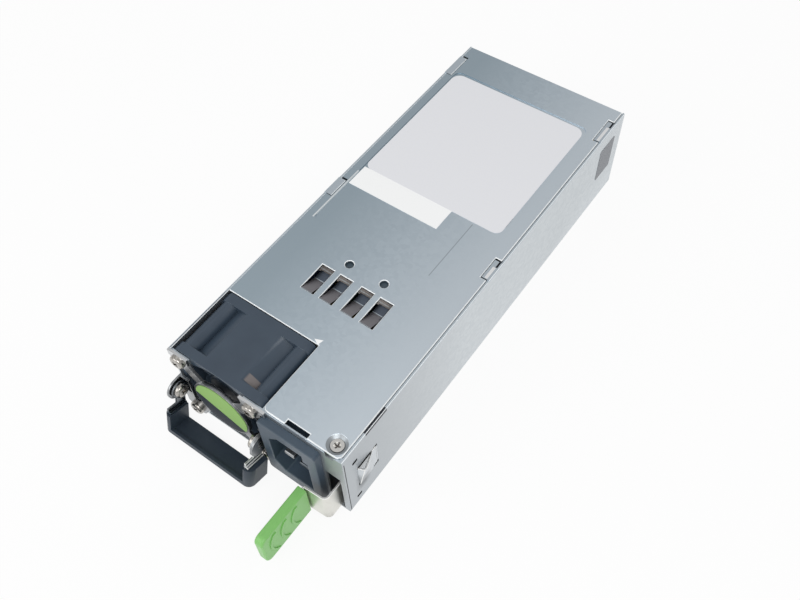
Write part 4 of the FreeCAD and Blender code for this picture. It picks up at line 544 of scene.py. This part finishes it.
def triangle(points: Sequence[tuple[float, float]], low: float, thick: float) -> Mesh:
    """Return a flat three-cornered plate.

    Args:
        points: Its three corners in plan, in millimetres.
        low: The height of its lower face in millimetres.
        thick: Its thickness in millimetres.

    Returns:
        The plate's mesh, in metres.
    """
    mesh = bmesh.new()
    bmesh.ops.create_circle(mesh, cap_ends=True, segments=3, radius=1.0)
    first, second, third = (Vector((*point, low)) for point in points)
    middle = (first + second + third) / 3
    across = (third - second) / math.sqrt(3.0)
    columns = (across, first - middle, Vector((0.0, 0.0, 1.0)))
    turn = Matrix.Translation(middle) @ Matrix(columns).transposed().to_4x4()
    bmesh.ops.transform(mesh, matrix=Matrix.Scale(MM, 4) @ turn, verts=mesh.verts)
    thicken(mesh, thick * MM)
    return mesh


def plate(low: Point, high: Point) -> Mesh:
    """Return a flat four-cornered plate.

    Args:
        low: Its lowest corner in millimetres.
        high: Its highest corner in millimetres.

    Returns:
        The plate's mesh, in metres.
    """
    mesh = bmesh.new()
    bmesh.ops.create_grid(mesh, x_segments=1, y_segments=1, size=0.5)
    start, end = Vector(low) * MM, Vector(high) * MM
    bmesh.ops.scale(mesh, verts=mesh.verts, vec=end - start)
    bmesh.ops.translate(mesh, verts=mesh.verts, vec=((start.x + end.x) / 2, (start.y + end.y) / 2, start.z))
    thicken(mesh, end.z - start.z)
    return mesh


def ends(node: str) -> tuple[Vector, Vector]:
    """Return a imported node's lowest and highest corner, in millimetres."""
    low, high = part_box(node)
    return Vector(low) / MM, Vector(high) / MM


def planes() -> Point:
    """Return where the case's right side, its front and its top lie, in millimetres."""
    low, high = ends("tray")
    return high.x, low.y, ends("cover")[1].z


def settle(name: str, mesh: Mesh) -> bpy.types.Object:
    """Turn a finished mesh into an object of the scene.

    Args:
        name: The object's name.
        mesh: Its mesh, in metres, in its place. It is freed.

    Returns:
        The object.
    """
    data = bpy.data.meshes.new(name)
    mesh.to_mesh(data)
    mesh.free()
    item = bpy.data.objects.new(name, data)
    bpy.context.scene.collection.objects.link(item)
    return item


@dataclass
class Assembly:
    """One sub-assembly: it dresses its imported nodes, rounds some and adds its own pieces."""

    wear: dict[str, Finish] = field(default_factory=dict)
    softened: dict[str, tuple[float, Body]] = field(default_factory=dict)

    def build(self) -> None:
        """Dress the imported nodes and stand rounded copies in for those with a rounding."""
        for node, finish in self.wear.items():
            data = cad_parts[node].data
            data.materials.clear()
            data.materials.append(material_of(finish))
            LOG.info("node %s wears %s", node, finish.name)
        for node, (width, body) in self.softened.items():
            self.soften(node, width, body)

    def add(self, name: str, mesh: Mesh, finish: Finish, body: Body) -> bpy.types.Object:
        """Turn a finished mesh into a piece that rides on a body.

        Args:
            name: The piece's name.
            mesh: Its mesh, in metres, in its place. It is freed.
            finish: Its finish.
            body: The body that carries it.

        Returns:
            The piece.
        """
        bmesh.ops.recalc_face_normals(mesh, faces=mesh.faces)
        piece = settle(name, mesh)
        piece.data.materials.append(material_of(finish))
        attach(piece, body.value)
        LOG.info("piece %s rides on %s", name, body.value)
        return piece

    def soften(self, node: str, width: float, body: Body, cut: Picker | None = None) -> bpy.types.Object:
        """Stand a copy of a node with rounded edges in for it.

        Args:
            node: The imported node.
            width: The width of the rounding in millimetres.
            body: The body that carries it.
            cut: Picks the edges to chamfer. Without it all sharp edges are rounded.

        Returns:
            The copy.
        """
        mesh = bmesh.new()
        mesh.from_mesh(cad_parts[node].data)
        bmesh.ops.remove_doubles(mesh, verts=mesh.verts, dist=MERGE)
        bmesh.ops.dissolve_limit(mesh, angle_limit=FLAT, verts=mesh.verts, edges=mesh.edges)
        mesh.normal_update()
        sharp = [edge for edge in mesh.edges if len(edge.link_faces) == 2 and edge.calc_face_angle(0.0) > SHARP]
        # The rounded faces are marked for a painted highlight.
        highlight_rim = mesh.faces.layers.float.new(HIGHLIGHT_RIM)
        if cut is not None:
            sharp = [edge for edge in sharp if cut(edge)]
        rounded = bmesh.ops.bevel(mesh, geom=sharp, offset=width * MM, segments=1 if cut else 2, profile=0.5,
                                  affect="EDGES", material=-1, clamp_overlap=cut is None)
        for face in rounded["faces"]:
            face[highlight_rim] = 1.0
        copy = self.add(f"{node}_rounded", mesh, self.wear[node], body)
        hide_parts(node)
        return copy


@dataclass(frozen=True)
class WindowMarks:
    """The painted shadow and shade round the latch window, each by its reach behind the front and its reach in height.
    """

    # A soft painted shadow that the tooth casts on the wall below it.
    tooth_shadow: tuple[Reach, Reach] = ((7.5, 9.5), (9.0, 16.0))
    tooth_shadow_tone: Colour = linear(146, 150, 153)
    tooth_shadow_soft: float = 3.0
    skin: float = 0.2
    # The window's gaps, with painted shade in them.
    gaps: tuple[tuple[Reach, Reach], ...] = (
        ((6.3, 13.9), (22.8, 24.1)), ((15.2, 17.0), (22.9, 24.3)),
        ((14.9, 17.0), (10.9, 11.7)), ((6.2, 7.4), (10.3, 11.2)))
    gap_shade_tone: Colour = linear(40, 44, 50)
    gap_soft: float = 0.04
    gap_depth: Reach = (-0.7, 0.03)

    def zones(self) -> list[Zone]:
        """Paint the soft shadow that the tooth casts below the window and the shade at the ends of its gaps.

        Returns:
            The zones.
        """
        side, front, _ = planes()
        behind, height = self.tooth_shadow
        tooth_shadow = Zone(around(side, self.skin), moved(behind, front), height, self.tooth_shadow_tone, self.tooth_shadow_soft)
        return [tooth_shadow, *(Zone(moved(self.gap_depth, side), moved(behind, front), height, self.gap_shade_tone, self.gap_soft)
                        for behind, height in self.gaps)]


@dataclass
class Casing(Assembly):
    """The folded tray and cover, the cover screw and the blank labels.

    The reach of a mark is counted from the case's right side, front or top. Only the louvres and the recess
    lines have plain places along x.
    """

    # The width and tone of the painted highlight along the cover's edges; the rims, the recess's left step and the
    # vent film's pale line take the same tone.
    edge: float = 0.35
    edge_tone: Colour = linear(244, 248, 250)
    # The first is painted shade in the front corner's seam, the side slots and the lock tabs' rear gaps; the second is
    # painted shade in the gap along the right wall's top.
    pit_shade_tone: Colour = linear(44, 46, 52)
    seam_shade_tone: Colour = linear(60, 64, 70)
    # How wide the painted shade and sheen bands fade, in millimetres.
    drift: float = 30.0
    # Painted shade along the cover's left side, a painted sheen along its right side and painted shade along the front
    # of the tray's right wall.
    left_shade_band: float = 8.0
    left_shade_tone: Colour = linear(170, 185, 195)
    right_sheen_band: float = 4.0
    right_sheen_tone: Colour = linear(212, 222, 230)
    front_shade_band: float = 12.0
    front_shade_tone: Colour = linear(190, 195, 199)
    top_tone: Colour = linear(196, 206, 214)
    top_depth: float = 0.9
    corner_low: float = 3.0
    corner_seam: tuple[Reach, Reach] = ((-0.75, OVER), (0.66, 0.98))
    side_seam: tuple[Reach, Reach] = ((12.3, 23.4), (-1.7, OVER))
    fan_depth: float = 29.3
    fan_gap: Point = (0.5, 0.1, 0.8)
    skin: float = 0.15
    # Painted highlight along each louvre's crease.
    crease_highlight_tone: Colour = linear(203, 213, 220)
    louvre_front: float = 44.5
    louvre_length: float = 12.2
    louvre_crease: float = 0.6
    louvre_margin: float = 4.0
    louvre_starts: tuple[float, ...] = (-15.86, -7.72, 1.64, 9.8)
    crease_reach: Reach = (-0.2, 0.1)
    # Painted shade on the louvres' tongues, in the openings behind them and at their sides; the openings' tone also
    # shades the tray's fan gap.
    tongue_shade_tone: Colour = linear(142, 140, 144)
    tail_shade_tone: Colour = linear(96, 104, 116)
    tail_reach: Reach = (0.2, 0.3)
    shade_tone: Colour = linear(74, 80, 90)
    shade_reach: Reach = (4.5, 5.4)
    shade_front: float = 5.5
    shade_soft: float = 0.6
    recess_depth: float = 0.6
    recess_right: tuple[Reach, Reach] = ((17.9, 18.15), (74.0, 102.0))
    # Painted shade along the recess's right step; the left step takes the edge highlight.
    right_step_shade_tone: Colour = linear(168, 178, 186)
    right_line_soft: float = 0.2
    recess_left: tuple[Reach, Reach] = ((-32.9, -32.45), (72.0, 100.0))
    left_line_soft: float = 0.1
    # Painted shade in the screw dimple.
    dimple_shade_tone: Colour = linear(168, 174, 178)
    dimple_reach: Reach = (-1.6, 6.2)
    dimple_skin: float = 0.08
    dimple_soft: float = 0.04
    lock_places: tuple[Point, ...] = ((84.3, 90.0, 94.0), (165.3, 173.8, 178.4))
    lock_top: Reach = (-2.2, -1.1)
    lock_gap: Reach = (-1.4, -0.7)
    lock_step: float = 0.2
    lock_depth: float = 1.5
    slot_heights: tuple[float, float] = (29.9, 4.1)
    slot_reach: Reach = (4.5, 6.95)
    slot_half: float = 0.75
    cross_tone: Colour = linear(92, 88, 84)
    cross_long: float = 1.2
    cross_half: float = 0.22
    cross_depth: float = 0.9
    cover_rounding: float = 0.27
    wall_rounding: float = 0.2
    plain_margin: float = 3.0
    upper_part: float = 0.5
    tab_size: float = 2.4
    tab_thick: float = 0.05
    tab_rise: float = 0.008
    strip_reach: float = 0.95
    label_round: float = 3.0
    label_steps: int = 8
    film_places: dict[str, Point] = field(
        default_factory=lambda: {"vent_film": (56.4, 61.0, 5.0), "hole_film": (59.0, 66.0, 1.6)})
    film_half: float = 18.0
    film_thick: float = 0.15
    film_line: Reach = (57.5, 57.8)
    film_soft: float = 0.12

    def __post_init__(self) -> None:
        """Choose the finishes."""
        self.wear = {"tray": self.tray_finish(), "cover": self.cover_finish(), "cover_screw": self.screw_finish(),
                     "rating_label": TOP_LABEL, "strip_label": STRIP_LABEL, "side_patch": PATCH_LABEL}

    def cover_finish(self) -> Finish:
        """Give the cover its painted shade on the left, its painted sheen on the right, the painted light and shade of
        its lock tabs, louvres, recess steps and screw dimple, and painted highlights on its edges.

        Returns:
            The finish.
        """
        low, high = ends("cover")
        all_y, all_z, rim_z = (low.y, high.y), (low.z, high.z), around(high.z, OVER)
        screw = ends("cover_screw")[0]
        return SheetMetal("galvanised", linear(184, 197, 207), linear(200, 212, 221), 0.42, highlight_rim=self.edge_tone, zones=(
            Zone((low.x, low.x + self.left_shade_band), all_y, all_z, self.left_shade_tone, self.drift),
            Zone((high.x - self.right_sheen_band, high.x), all_y, all_z, self.right_sheen_tone, self.drift),
            *self.lock_marks(),
            *self.louvre_marks(),
            *self.recess_marks(),
            Zone(moved(self.dimple_reach, screw.x), moved(self.dimple_reach, screw.y),
                 (low.z, high.z - self.dimple_skin), self.dimple_shade_tone, self.dimple_soft),
            Zone((high.x - self.edge, high.x + OVER), (low.y - OVER, high.y + OVER), rim_z, self.edge_tone),
            Zone((low.x, high.x), (low.y - OVER, low.y + self.edge), rim_z, self.edge_tone),
        ))

    def louvre_marks(self) -> list[Zone]:
        """Paint the louvres' light and shade: shade on the tongues, in the openings behind them and at their sides,
        and a highlight along each crease.

        Returns:
            The zones.
        """
        low, high = ends("cover")
        front = planes()[1] + self.louvre_front
        crease, end = front + self.louvre_crease * self.louvre_length, front + self.louvre_length
        x, z = (low.x + self.louvre_margin, high.x - self.louvre_margin), (low.z, high.z - self.skin)
        tail, over = self.tail_reach
        return [Zone(x, (front, crease), z, self.tongue_shade_tone),
                Zone(x, (crease + tail, end + over), z, self.tail_shade_tone),
                Zone(x, moved(self.crease_reach, crease), z, self.crease_highlight_tone),
                *(Zone(moved(self.shade_reach, start), (front + self.shade_front, end), z, self.shade_tone,
                       self.shade_soft) for start in self.louvre_starts)]

    def recess_marks(self) -> list[Zone]:
        """Paint a shade line along the right long step of the cover's recess and a highlight along the left one.

        Returns:
            The zones.
        """
        _, front, top = planes()
        z = (top - self.skin - self.recess_depth, top + OVER)
        (right, right_back), (left, left_back) = self.recess_right, self.recess_left
        return [Zone(right, moved(right_back, front), z, self.right_step_shade_tone, self.right_line_soft),
                Zone(left, moved(left_back, front), z, self.edge_tone, self.left_line_soft)]

    def tray_finish(self) -> Finish:
        """Give the tray its painted shade towards the front, a band of another tone along its top, painted shade in
        its seams, slots and fan gap, and the painted light and shade of its locks and window.

        Returns:
            The finish.
        """
        low, high = ends("tray")
        top = planes()[2]
        seam_x, seam_y = self.corner_seam
        side_y, side_z = self.side_seam
        start, inside, depth = self.fan_gap
        over_x, over_y = (low.x - OVER, high.x + OVER), (low.y - OVER, high.y + OVER)
        return SheetMetal("galvanised_side", linear(203, 209, 213), linear(219, 224, 227), 0.46, highlight_rim=self.edge_tone,
                          zones=(
            Zone((high.x - OVER, high.x), (low.y, low.y + self.front_shade_band), (low.z, high.z), self.front_shade_tone,
                 2 * self.drift),
            Zone(over_x, over_y, (top - self.top_depth, top + OVER), self.top_tone),
            Zone(moved(seam_x, high.x), moved(seam_y, low.y), (low.z - OVER, top - self.corner_low),
                 self.pit_shade_tone, FINE),
            Zone(around(high.x, OVER), moved(side_y, low.y), moved(side_z, high.z), self.seam_shade_tone, FINE),
            *self.lock_marks(),
            Zone((low.x + self.edge, ends("cover")[0].x + inside), (low.y + start, low.y + self.fan_depth - OVER),
                 (top - depth, top + OVER), self.tail_shade_tone, FINE),
            *(Zone(around(high.x, OVER), moved(self.slot_reach, low.y), around(height, self.slot_half),
                   self.pit_shade_tone, FINE) for height in self.slot_heights),
            *WindowMarks().zones(),
        ))

    def lock_marks(self) -> list[Zone]:
        """Paint a highlight on the tops of the right wall's two lock tabs and shade in the gaps at their rear ends.

        Returns:
            The zones.
        """
        side, front, top = planes()
        z = (top - self.lock_depth, top + OVER)
        zones = []
        for start, middle, end in self.lock_places:
            zones.append(Zone(moved(self.lock_top, side), (front + start, front + middle), z, HIGHLIGHT_WHITE, FINE))
            zones.append(Zone(moved(self.lock_gap, side), (front + middle + self.lock_step, front + end), z,
                              self.pit_shade_tone, FINE))
        return zones

    def screw_finish(self) -> Finish:
        """Give the cover screw the shade of its cross recess.

        Returns:
            The finish.
        """
        low, high = ends("cover_screw")
        middle = (low + high) / 2
        z = (high.z - self.cross_depth, high.z + OVER)
        sizes = (self.cross_long, self.cross_half)
        return Plated("cover_screw_plate", linear(190, 189, 186), linear(218, 217, 214), 0.3, zones=tuple(
            Zone(around(middle.x, across), around(middle.y, along), z, self.cross_tone, FINE)
            for across, along in (sizes, sizes[::-1])))

    def build(self) -> None:
        """Dress the case, round the cover's cut edges and the wall's top edge with a painted highlight on the
        roundings, add a painted glint at the cut-out's corner and add what shows at its openings.
        """
        super().build()
        self.soften("cover", self.cover_rounding, Body.CASE, self.upper_edge())
        self.soften("tray", self.wall_rounding, Body.CASE, self.wall_edge())
        self.paper_margins()
        self.corner_glint()
        self.films()

    def upper_edge(self) -> Picker:
        """Find the edges round the cover's upper face and its holes.

        Returns:
            The function that picks them.
        """
        low, high = ends("cover")
        level, left = (high.z - self.upper_part) * MM, (low.x + self.plain_margin) * MM

        def picked(edge: Edge) -> bool:
            """Tell whether an edge has the flat face above it and a cut through the sheet below.

            Args:
                edge: The edge.

            Returns:
                Whether it is picked.
            """
            side, flat = sorted(edge.link_faces, key=lambda face: abs(face.normal.z))
            return (abs(side.normal.z) < UPRIGHT and flat.normal.z > FACING
                    and all(vert.co.z > level for vert in edge.verts)
                    and max(vert.co.x for vert in edge.verts) > left
                    and min(vert.co.z for vert in side.verts) < level)

        return picked

    def wall_edge(self) -> Picker:
        """Find the right wall's outer upper edge.

        Returns:
            The function that picks it.
        """
        level = (ends("tray")[1].z - self.upper_part) * MM

        def picked(edge: Edge) -> bool:
            """Tell whether an edge lies between the wall's outer face and its top.

            Args:
                edge: The edge.

            Returns:
                Whether it is picked.
            """
            normals = [face.normal for face in edge.link_faces]
            return (max(normal.z for normal in normals) > FACING and max(normal.x for normal in normals) > FACING
                    and all(vert.co.z > level for vert in edge.verts))

        return picked

    def paper_margins(self) -> None:
        """Let the top label reach the strip label, whose corners are square."""
        low, high = ends("rating_label")
        start, end = ends("strip_label")
        drop = Vector((0.0, 0.0, 0.01))
        reach = Vector((0.0, self.strip_reach, 0.0))
        self.add("strip_label_square", plate(start, end - drop * 3 + reach), STRIP_LABEL, Body.CASE)
        margin = plate((low.x, end.y + self.strip_reach, low.z),
                       (high.x, low.y + 4 * self.label_round, high.z - drop.z))
        upright = [edge for edge in margin.edges
                   if abs(edge.verts[0].co.z - edge.verts[1].co.z) > drop.z / 2 * MM]
        bmesh.ops.bevel(margin, geom=upright, offset=self.label_round * MM, segments=self.label_steps, profile=0.5,
                        affect="EDGES")
        self.add("rating_label_margin", margin, TOP_LABEL, Body.CASE)

    def films(self) -> None:
        """Add the films that show below the louvres' rear ends and below the two round holes."""
        _, front, top = planes()
        for name, (start, end, drop) in self.film_places.items():
            film = plate((-self.film_half, front + start, top - drop),
                         (self.film_half, front + end, top - drop + self.film_thick))
            self.add(name, film, self.film_finish() if name == "vent_film" else HOLE_FILM, Body.CASE)

    def film_finish(self) -> Finish:
        """Give the brown film its pale line.

        Returns:
            The finish.
        """
        _, front, top = planes()
        line = Zone((-self.film_half, self.film_half), moved(self.film_line, front), (0.0, top), self.edge_tone,
                    self.film_soft)
        return Moulded("brown_film", linear(200, 191, 186), linear(216, 207, 202), 0.5, zones=(line,))

    def corner_glint(self) -> None:
        """Add the small white triangle, a painted glint on the bent-up inner corner of the cover's cut-out."""
        _, front, top = planes()
        x, y, size = ends("fan_frame")[1].x, front + self.fan_depth, self.tab_size
        points = ((x, y), (x - size, y + size / 2), (x + size / 4, y + size))
        tab = triangle(points, top - self.tab_thick, self.tab_thick + self.tab_rise)
        self.add("cover_corner_tab", tab, STRIP_LABEL, Body.CASE)


@dataclass
class FanUnit(Assembly):
    """The fan: its frame, wheel, motor, plug and lead."""

    rounding: float = 0.25
    # A pale brown patch at the front of the right pocket.
    pale_patch_x: Reach = (-9.4, -3.5)
    pale_patch_y: Reach = (5.3, 8.0)
    pale_patch_z: Reach = (-4.0, -0.5)
    pale_patch_tone: Colour = linear(122, 116, 115)
    pale_patch_soft: float = 0.3

    def __post_init__(self) -> None:
        """Choose the finishes, with the pale brown patch at the front of the right pocket."""
        pale_patch = Zone(self.pale_patch_x, moved(self.pale_patch_y, planes()[1]), moved(self.pale_patch_z, ends("fan_frame")[1].z),
                    self.pale_patch_tone, self.pale_patch_soft)
        frame_plastic = replace(FAN_PLASTIC, name="fan_frame_plastic", zones=(pale_patch,), highlight_rim=linear(124, 136, 146))
        self.wear = {"fan_frame": frame_plastic, "fan_stator": DARK_STEEL, "fan_bearings": BRASS,
                     "fan_rotor": FAN_PLASTIC, "fan_shaft": STEEL, "fan_magnet": DARK_STEEL,
                     "fan_screws": SCREW, "fan_header": NYLON, "fan_plug": NYLON, "fan_lead": SLEEVE}
        self.softened = {"fan_frame": (self.rounding, Body.CASE)}


@dataclass
class GuardAndHandle(Assembly):
    """The fan guard with its label, and the handle that swings on it."""

    sheet_rounding: float = 0.22
    grip_rounding: float = 0.3
    band: Colour = linear(150, 190, 112)
    lower: Colour = linear(38, 46, 56)
    band_slope: float = -0.36
    band_offset: float = -2.4
    # Painted shade on the left arm's foot by the grip.
    foot_height: float = 0.9
    foot_shade_tone: Colour = linear(86, 96, 106)
    # Painted highlight along the guard's upper tabs.
    tab_height: float = 3.0
    tab_highlight_tone: Colour = linear(206, 208, 210)
    tab_soft: float = 0.5

    def __post_init__(self) -> None:
        """Choose the finishes, with the label's line worked out from its centre, the left arm in the shaded copy of
        the nickel with painted shade on its foot, the right arm in the lit copy and a painted highlight along the
        guard's upper tabs.
        """
        low, high = ends("guard_label")
        label = SplitPaper("guard_label", self.lower, self.band, 0.4, centre=tuple((low + high) / 2),
                           slope=self.band_slope, offset=self.band_offset)
        low, high = ends("handle_arm_left")
        foot = Zone((low.x - OVER, high.x + OVER), (low.y - OVER, high.y + OVER),
                    (low.z - OVER, ends("handle_grip")[1].z + self.foot_height), self.foot_shade_tone)
        shaded_arm = replace(SHADED_NICKEL, name="handle_arm_sheet", zones=(foot,), highlight_rim=None)
        low, high = ends("fan_guard")
        tabs = Zone((low.x, high.x), (low.y, high.y), (high.z - self.tab_height, high.z), self.tab_highlight_tone, self.tab_soft)
        # The guard takes the gloss, spangle and painted rim highlight of that copy, with tones of its own.
        guard = replace(SHADED_NICKEL, name="guard_sheet", dark=linear(138, 141, 144), pale=linear(166, 168, 170),
                        zones=(tabs,))
        self.wear = {"fan_guard": guard, "guard_label": label, "handle_pivot_left": SCREW,
                     "handle_pivot_right": SCREW, "handle_arm_left": shaded_arm, "handle_arm_right": LIT_NICKEL,
                     "handle_grip": HANDLE_PLASTIC}
        self.softened = {"fan_guard": (self.sheet_rounding, Body.CASE),
                         "handle_arm_left": (self.sheet_rounding, Body.HANDLE),
                         "handle_arm_right": (self.sheet_rounding, Body.HANDLE),
                         "handle_grip": (self.grip_rounding, Body.HANDLE)}


@dataclass
class MainsInlet(Assembly):
    """The mains inlet's housing and its three pins."""

    rounding: float = 0.3
    pin_rounding: float = 0.2

    def __post_init__(self) -> None:
        """Choose the finishes: the line and neutral pins are painted darker than the earth pin, as shade in the
        inlet's cavity.
        """
        self.wear = {"inlet_housing": INLET_PLASTIC, "inlet_earth_pin": DULL_PIN, "inlet_line_pin": SHADED_LINE_PIN,
                     "inlet_neutral_pin": SHADED_LINE_PIN}
        self.softened = {"inlet_housing": (self.rounding, Body.CASE)}
        self.softened.update({pin: (self.pin_rounding, Body.CASE) for pin in self.wear if pin.endswith("_pin")})


@dataclass
class SideLatch(Assembly):
    """The sprung latch and its squeeze grip."""

    rounding: float = 0.2
    wall_inset: float = 0.9
    tooth_tone: Colour = linear(209, 214, 218)
    tooth_top: float = 23.1
    lip: float = 0.1
    edges: tuple[Point, ...] = ((6.23, 6.48, 23.1), (16.43, 17.07, 23.7))
    edge_low: float = 12.2
    edge_thick: float = 0.3
    edge_inset: float = 0.02
    floor_at: Point = (7.2, 8.1, 13.6)
    floor_reach: float = 1.6
    floor_height: float = 22.3
    floor_thick: float = 0.3

    def __post_init__(self) -> None:
        """Choose the finishes: the tooth wears the wall's tone, with a painted highlight along its top edge, and the
        spring carries the painted shadow and gap shade round the window.
        """
        wall, low = ends("tray")[1], ends("latch_spring")[0]
        over, y = 2 * wall.x, (low.y, wall.y)
        steel = SheetMetal("spring_steel", linear(222, 221, 214), linear(234, 233, 227), 0.36, zones=(
            Zone((wall.x - self.wall_inset, over), y, (low.z, wall.z), self.tooth_tone),
            # A painted highlight along the tooth's top edge.
            Zone((wall.x + self.lip, over), y, (self.tooth_top - self.lip, wall.z), HIGHLIGHT_WHITE, FINE),
            *WindowMarks().zones(),
        ), highlight_rim=linear(250, 250, 248), spangle=0.3)
        self.wear = {"latch_spring": steel, "latch_foot": steel, "latch_grip": GREEN_PLASTIC}
        self.softened = {"latch_spring": (self.rounding, Body.LATCH)}

    def build(self) -> None:
        """Dress the latch, round the strip's edges and close the tooth's hollow."""
        super().build()
        self.tooth_floor()
        self.tooth_edges()

    def tooth_edges(self) -> None:
        """Add the tooth plate's turned edges, which nearly close the window's upright gaps."""
        side, front, _ = planes()
        for place, (start, end, high) in enumerate(self.edges, 1):
            edge = plate((side - self.edge_thick, front + start, self.edge_low),
                         (side - self.edge_inset, front + end, high))
            self.add(f"latch_tooth_edge_{place}", edge, self.wear["latch_spring"], Body.LATCH)

    def tooth_floor(self) -> None:
        """Add the grey plate that shows inside the tooth's open top."""
        side, face, _ = planes()
        front, tip, rear = (face + step for step in self.floor_at)
        points = ((side + self.floor_reach, tip), (side, front), (side, rear))
        self.add("latch_tooth_floor", triangle(points, self.floor_height, self.floor_thick), PRESSED_SHEET, Body.LATCH)


@dataclass
class Boards(Assembly):
    """The circuit boards with what holds them."""

    wear: dict[str, Finish] = field(default_factory=lambda: {
        "main_board": BOARD, "insulator_sheet": INSULATION, "board_standoffs": BRASS, "board_screws": SCREW,
        "control_card": BOARD, "control_chips": BLACK_PLASTIC, "output_card": BOARD, "output_contacts": GOLD,
        "output_card_posts": BRASS,
    })


@dataclass
class PowerParts(Assembly):
    """The parts on the main board that turn mains into the output."""

    wear: dict[str, Finish] = field(default_factory=lambda: {
        "line_choke_core": RING_COAT, "line_choke_windings": COPPER, "boost_choke_core": RING_COAT,
        "boost_choke_winding": COPPER, "x_capacitor": FILM_CASE, "y_capacitors": DISC_GLAZE,
        "inrush_relay": RELAY_CASE, "fuse": CERAMIC, "fuse_clips": PIN, "boost_heat_sink": ALUMINIUM,
        "bridge_rectifier": BLACK_PLASTIC, "boost_transistors": BLACK_PLASTIC, "output_heat_sink": ALUMINIUM,
        "output_rectifiers": BLACK_PLASTIC, "bulk_capacitor_1": CAN_SLEEVE, "bulk_capacitor_2": CAN_SLEEVE,
        "standby_transformer": TAPE, "resonant_choke": TAPE, "transformer_core": FERRITE,
        "transformer_bobbin": TAPE, "output_capacitors": CAN_SLEEVE,
    })


@dataclass(frozen=True)
class Lamp:
    """A soft square lamp: its place, target and width in millimetres and its power in watts."""

    name: str
    place: Point
    target: Point
    size: float
    power: float

    def hang(self) -> None:
        """Put the lamp into the scene."""
        data = bpy.data.lights.new(self.name, "AREA")
        data.shape = "SQUARE"
        data.size = self.size * MM
        data.energy = self.power
        lamp = bpy.data.objects.new(self.name, data)
        lamp.location = Vector(self.place) * MM
        lamp.rotation_euler = (Vector(self.target) - Vector(self.place)).to_track_quat("-Z", "Y").to_euler()
        bpy.context.scene.collection.objects.link(lamp)


@dataclass
class Studio:
    """The camera, the pale floor and the lights."""

    lens: float = 39.66
    sensor: float = 36.0
    nearest: float = 10.0
    eye: Point = (122.42, -170.03, 287.80)
    right: Point = (0.81154, 0.58374, -0.02554)
    up: Point = (-0.46709, 0.67440, 0.57184)
    back: Point = (0.35103, -0.45214, 0.81996)
    floor_size: float = 6000.0
    floor_drop: float = 0.4
    floor_tone: Colour = (0.92, 0.92, 0.92)
    floor_roughness: float = 0.9
    floor_specular: float = 0.1
    whiteness: float = 0.9
    surround: Reach = (0.6, 1.0)
    lamps: tuple[Lamp, ...] = (
        Lamp("key", (500.0, -600.0, 900.0), (0.0, 0.0, 0.0), 600.0, 4.0),
        Lamp("front", (-400.0, -800.0, 500.0), (0.0, -60.0, 15.0), 600.0, 2.0),
        Lamp("overhead", (-240.0, 60.0, 800.0), (0.0, -40.0, 39.0), 400.0, 0.16),
    )

    def build(self) -> None:
        """Make the camera, floor, world and lamps."""
        self.camera()
        self.floor()
        self.world()
        for lamp in self.lamps:
            lamp.hang()
        bpy.context.scene.view_settings.view_transform = "Standard"

    def camera(self) -> None:
        """Put the camera where the photograph was taken."""
        data = bpy.data.cameras.new("camera")
        data.lens = self.lens
        data.sensor_width = self.sensor
        data.clip_start = self.nearest * MM
        camera = bpy.data.objects.new("camera", data)
        turn = Matrix((self.right, self.up, self.back)).transposed().to_4x4()
        camera.matrix_world = Matrix.Translation(Vector(self.eye) * MM) @ turn
        bpy.context.scene.collection.objects.link(camera)
        bpy.context.scene.camera = camera

    def floor(self) -> None:
        """Lay a pale floor that keeps the object's shadow."""
        mesh = bmesh.new()
        bmesh.ops.create_grid(mesh, x_segments=1, y_segments=1, size=self.floor_size * MM / 2)
        bmesh.ops.translate(mesh, verts=mesh.verts, vec=(0.0, 0.0, -self.floor_drop * MM))
        floor = settle("floor", mesh)
        shader = Shader("floor_paper")
        shader.paint("Base Color", (*self.floor_tone, 1.0))
        shader.set(Roughness=self.floor_roughness, Specular_IOR_Level=self.floor_specular)
        self.whiten(shader)
        floor.data.materials.append(shader.material)

    def whiten(self, shader: Shader) -> None:
        """Show part of a surface as plain white to the camera and in reflections.

        Args:
            shader: The surface's material.
        """
        nodes, links = shader.tree.nodes, shader.tree.links
        path = nodes.new("ShaderNodeLightPath")
        seen = shader.reckon("MAXIMUM", path.outputs["Is Camera Ray"], path.outputs["Is Glossy Ray"])
        white = nodes.new("ShaderNodeEmission")
        mix = nodes.new("ShaderNodeMixShader")
        links.new(shader.reckon("MULTIPLY", seen, self.whiteness), mix.inputs["Fac"])
        links.new(shader.surface.outputs["BSDF"], mix.inputs[1])
        links.new(white.outputs["Emission"], mix.inputs[2])
        links.new(mix.outputs["Shader"], nodes["Material Output"].inputs["Surface"])

    def world(self) -> None:
        """Set a plain pale surround, brighter to the camera than to the object."""
        world = bpy.data.worlds.new("surround")
        bpy.context.scene.world = world
        world.use_nodes = True
        nodes, links = world.node_tree.nodes, world.node_tree.links
        background = nodes["Background"]
        path = nodes.new("ShaderNodeLightPath")
        level = nodes.new("ShaderNodeMapRange")
        level.inputs["To Min"].default_value, level.inputs["To Max"].default_value = self.surround
        links.new(path.outputs["Is Camera Ray"], level.inputs["Value"])
        links.new(level.outputs["Result"], background.inputs["Strength"])
        background.inputs["Color"].default_value = (1.0, 1.0, 1.0, 1.0)


def main() -> None:
    """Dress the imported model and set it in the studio."""
    logging.basicConfig(level=logging.INFO, format="%(name)s: %(message)s")
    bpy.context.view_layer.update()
    for part in (Casing(), FanUnit(), GuardAndHandle(), MainsInlet(), SideLatch(), Boards(), PowerParts(), Studio()):
        part.build()


if __name__ == "__main__":
    main()
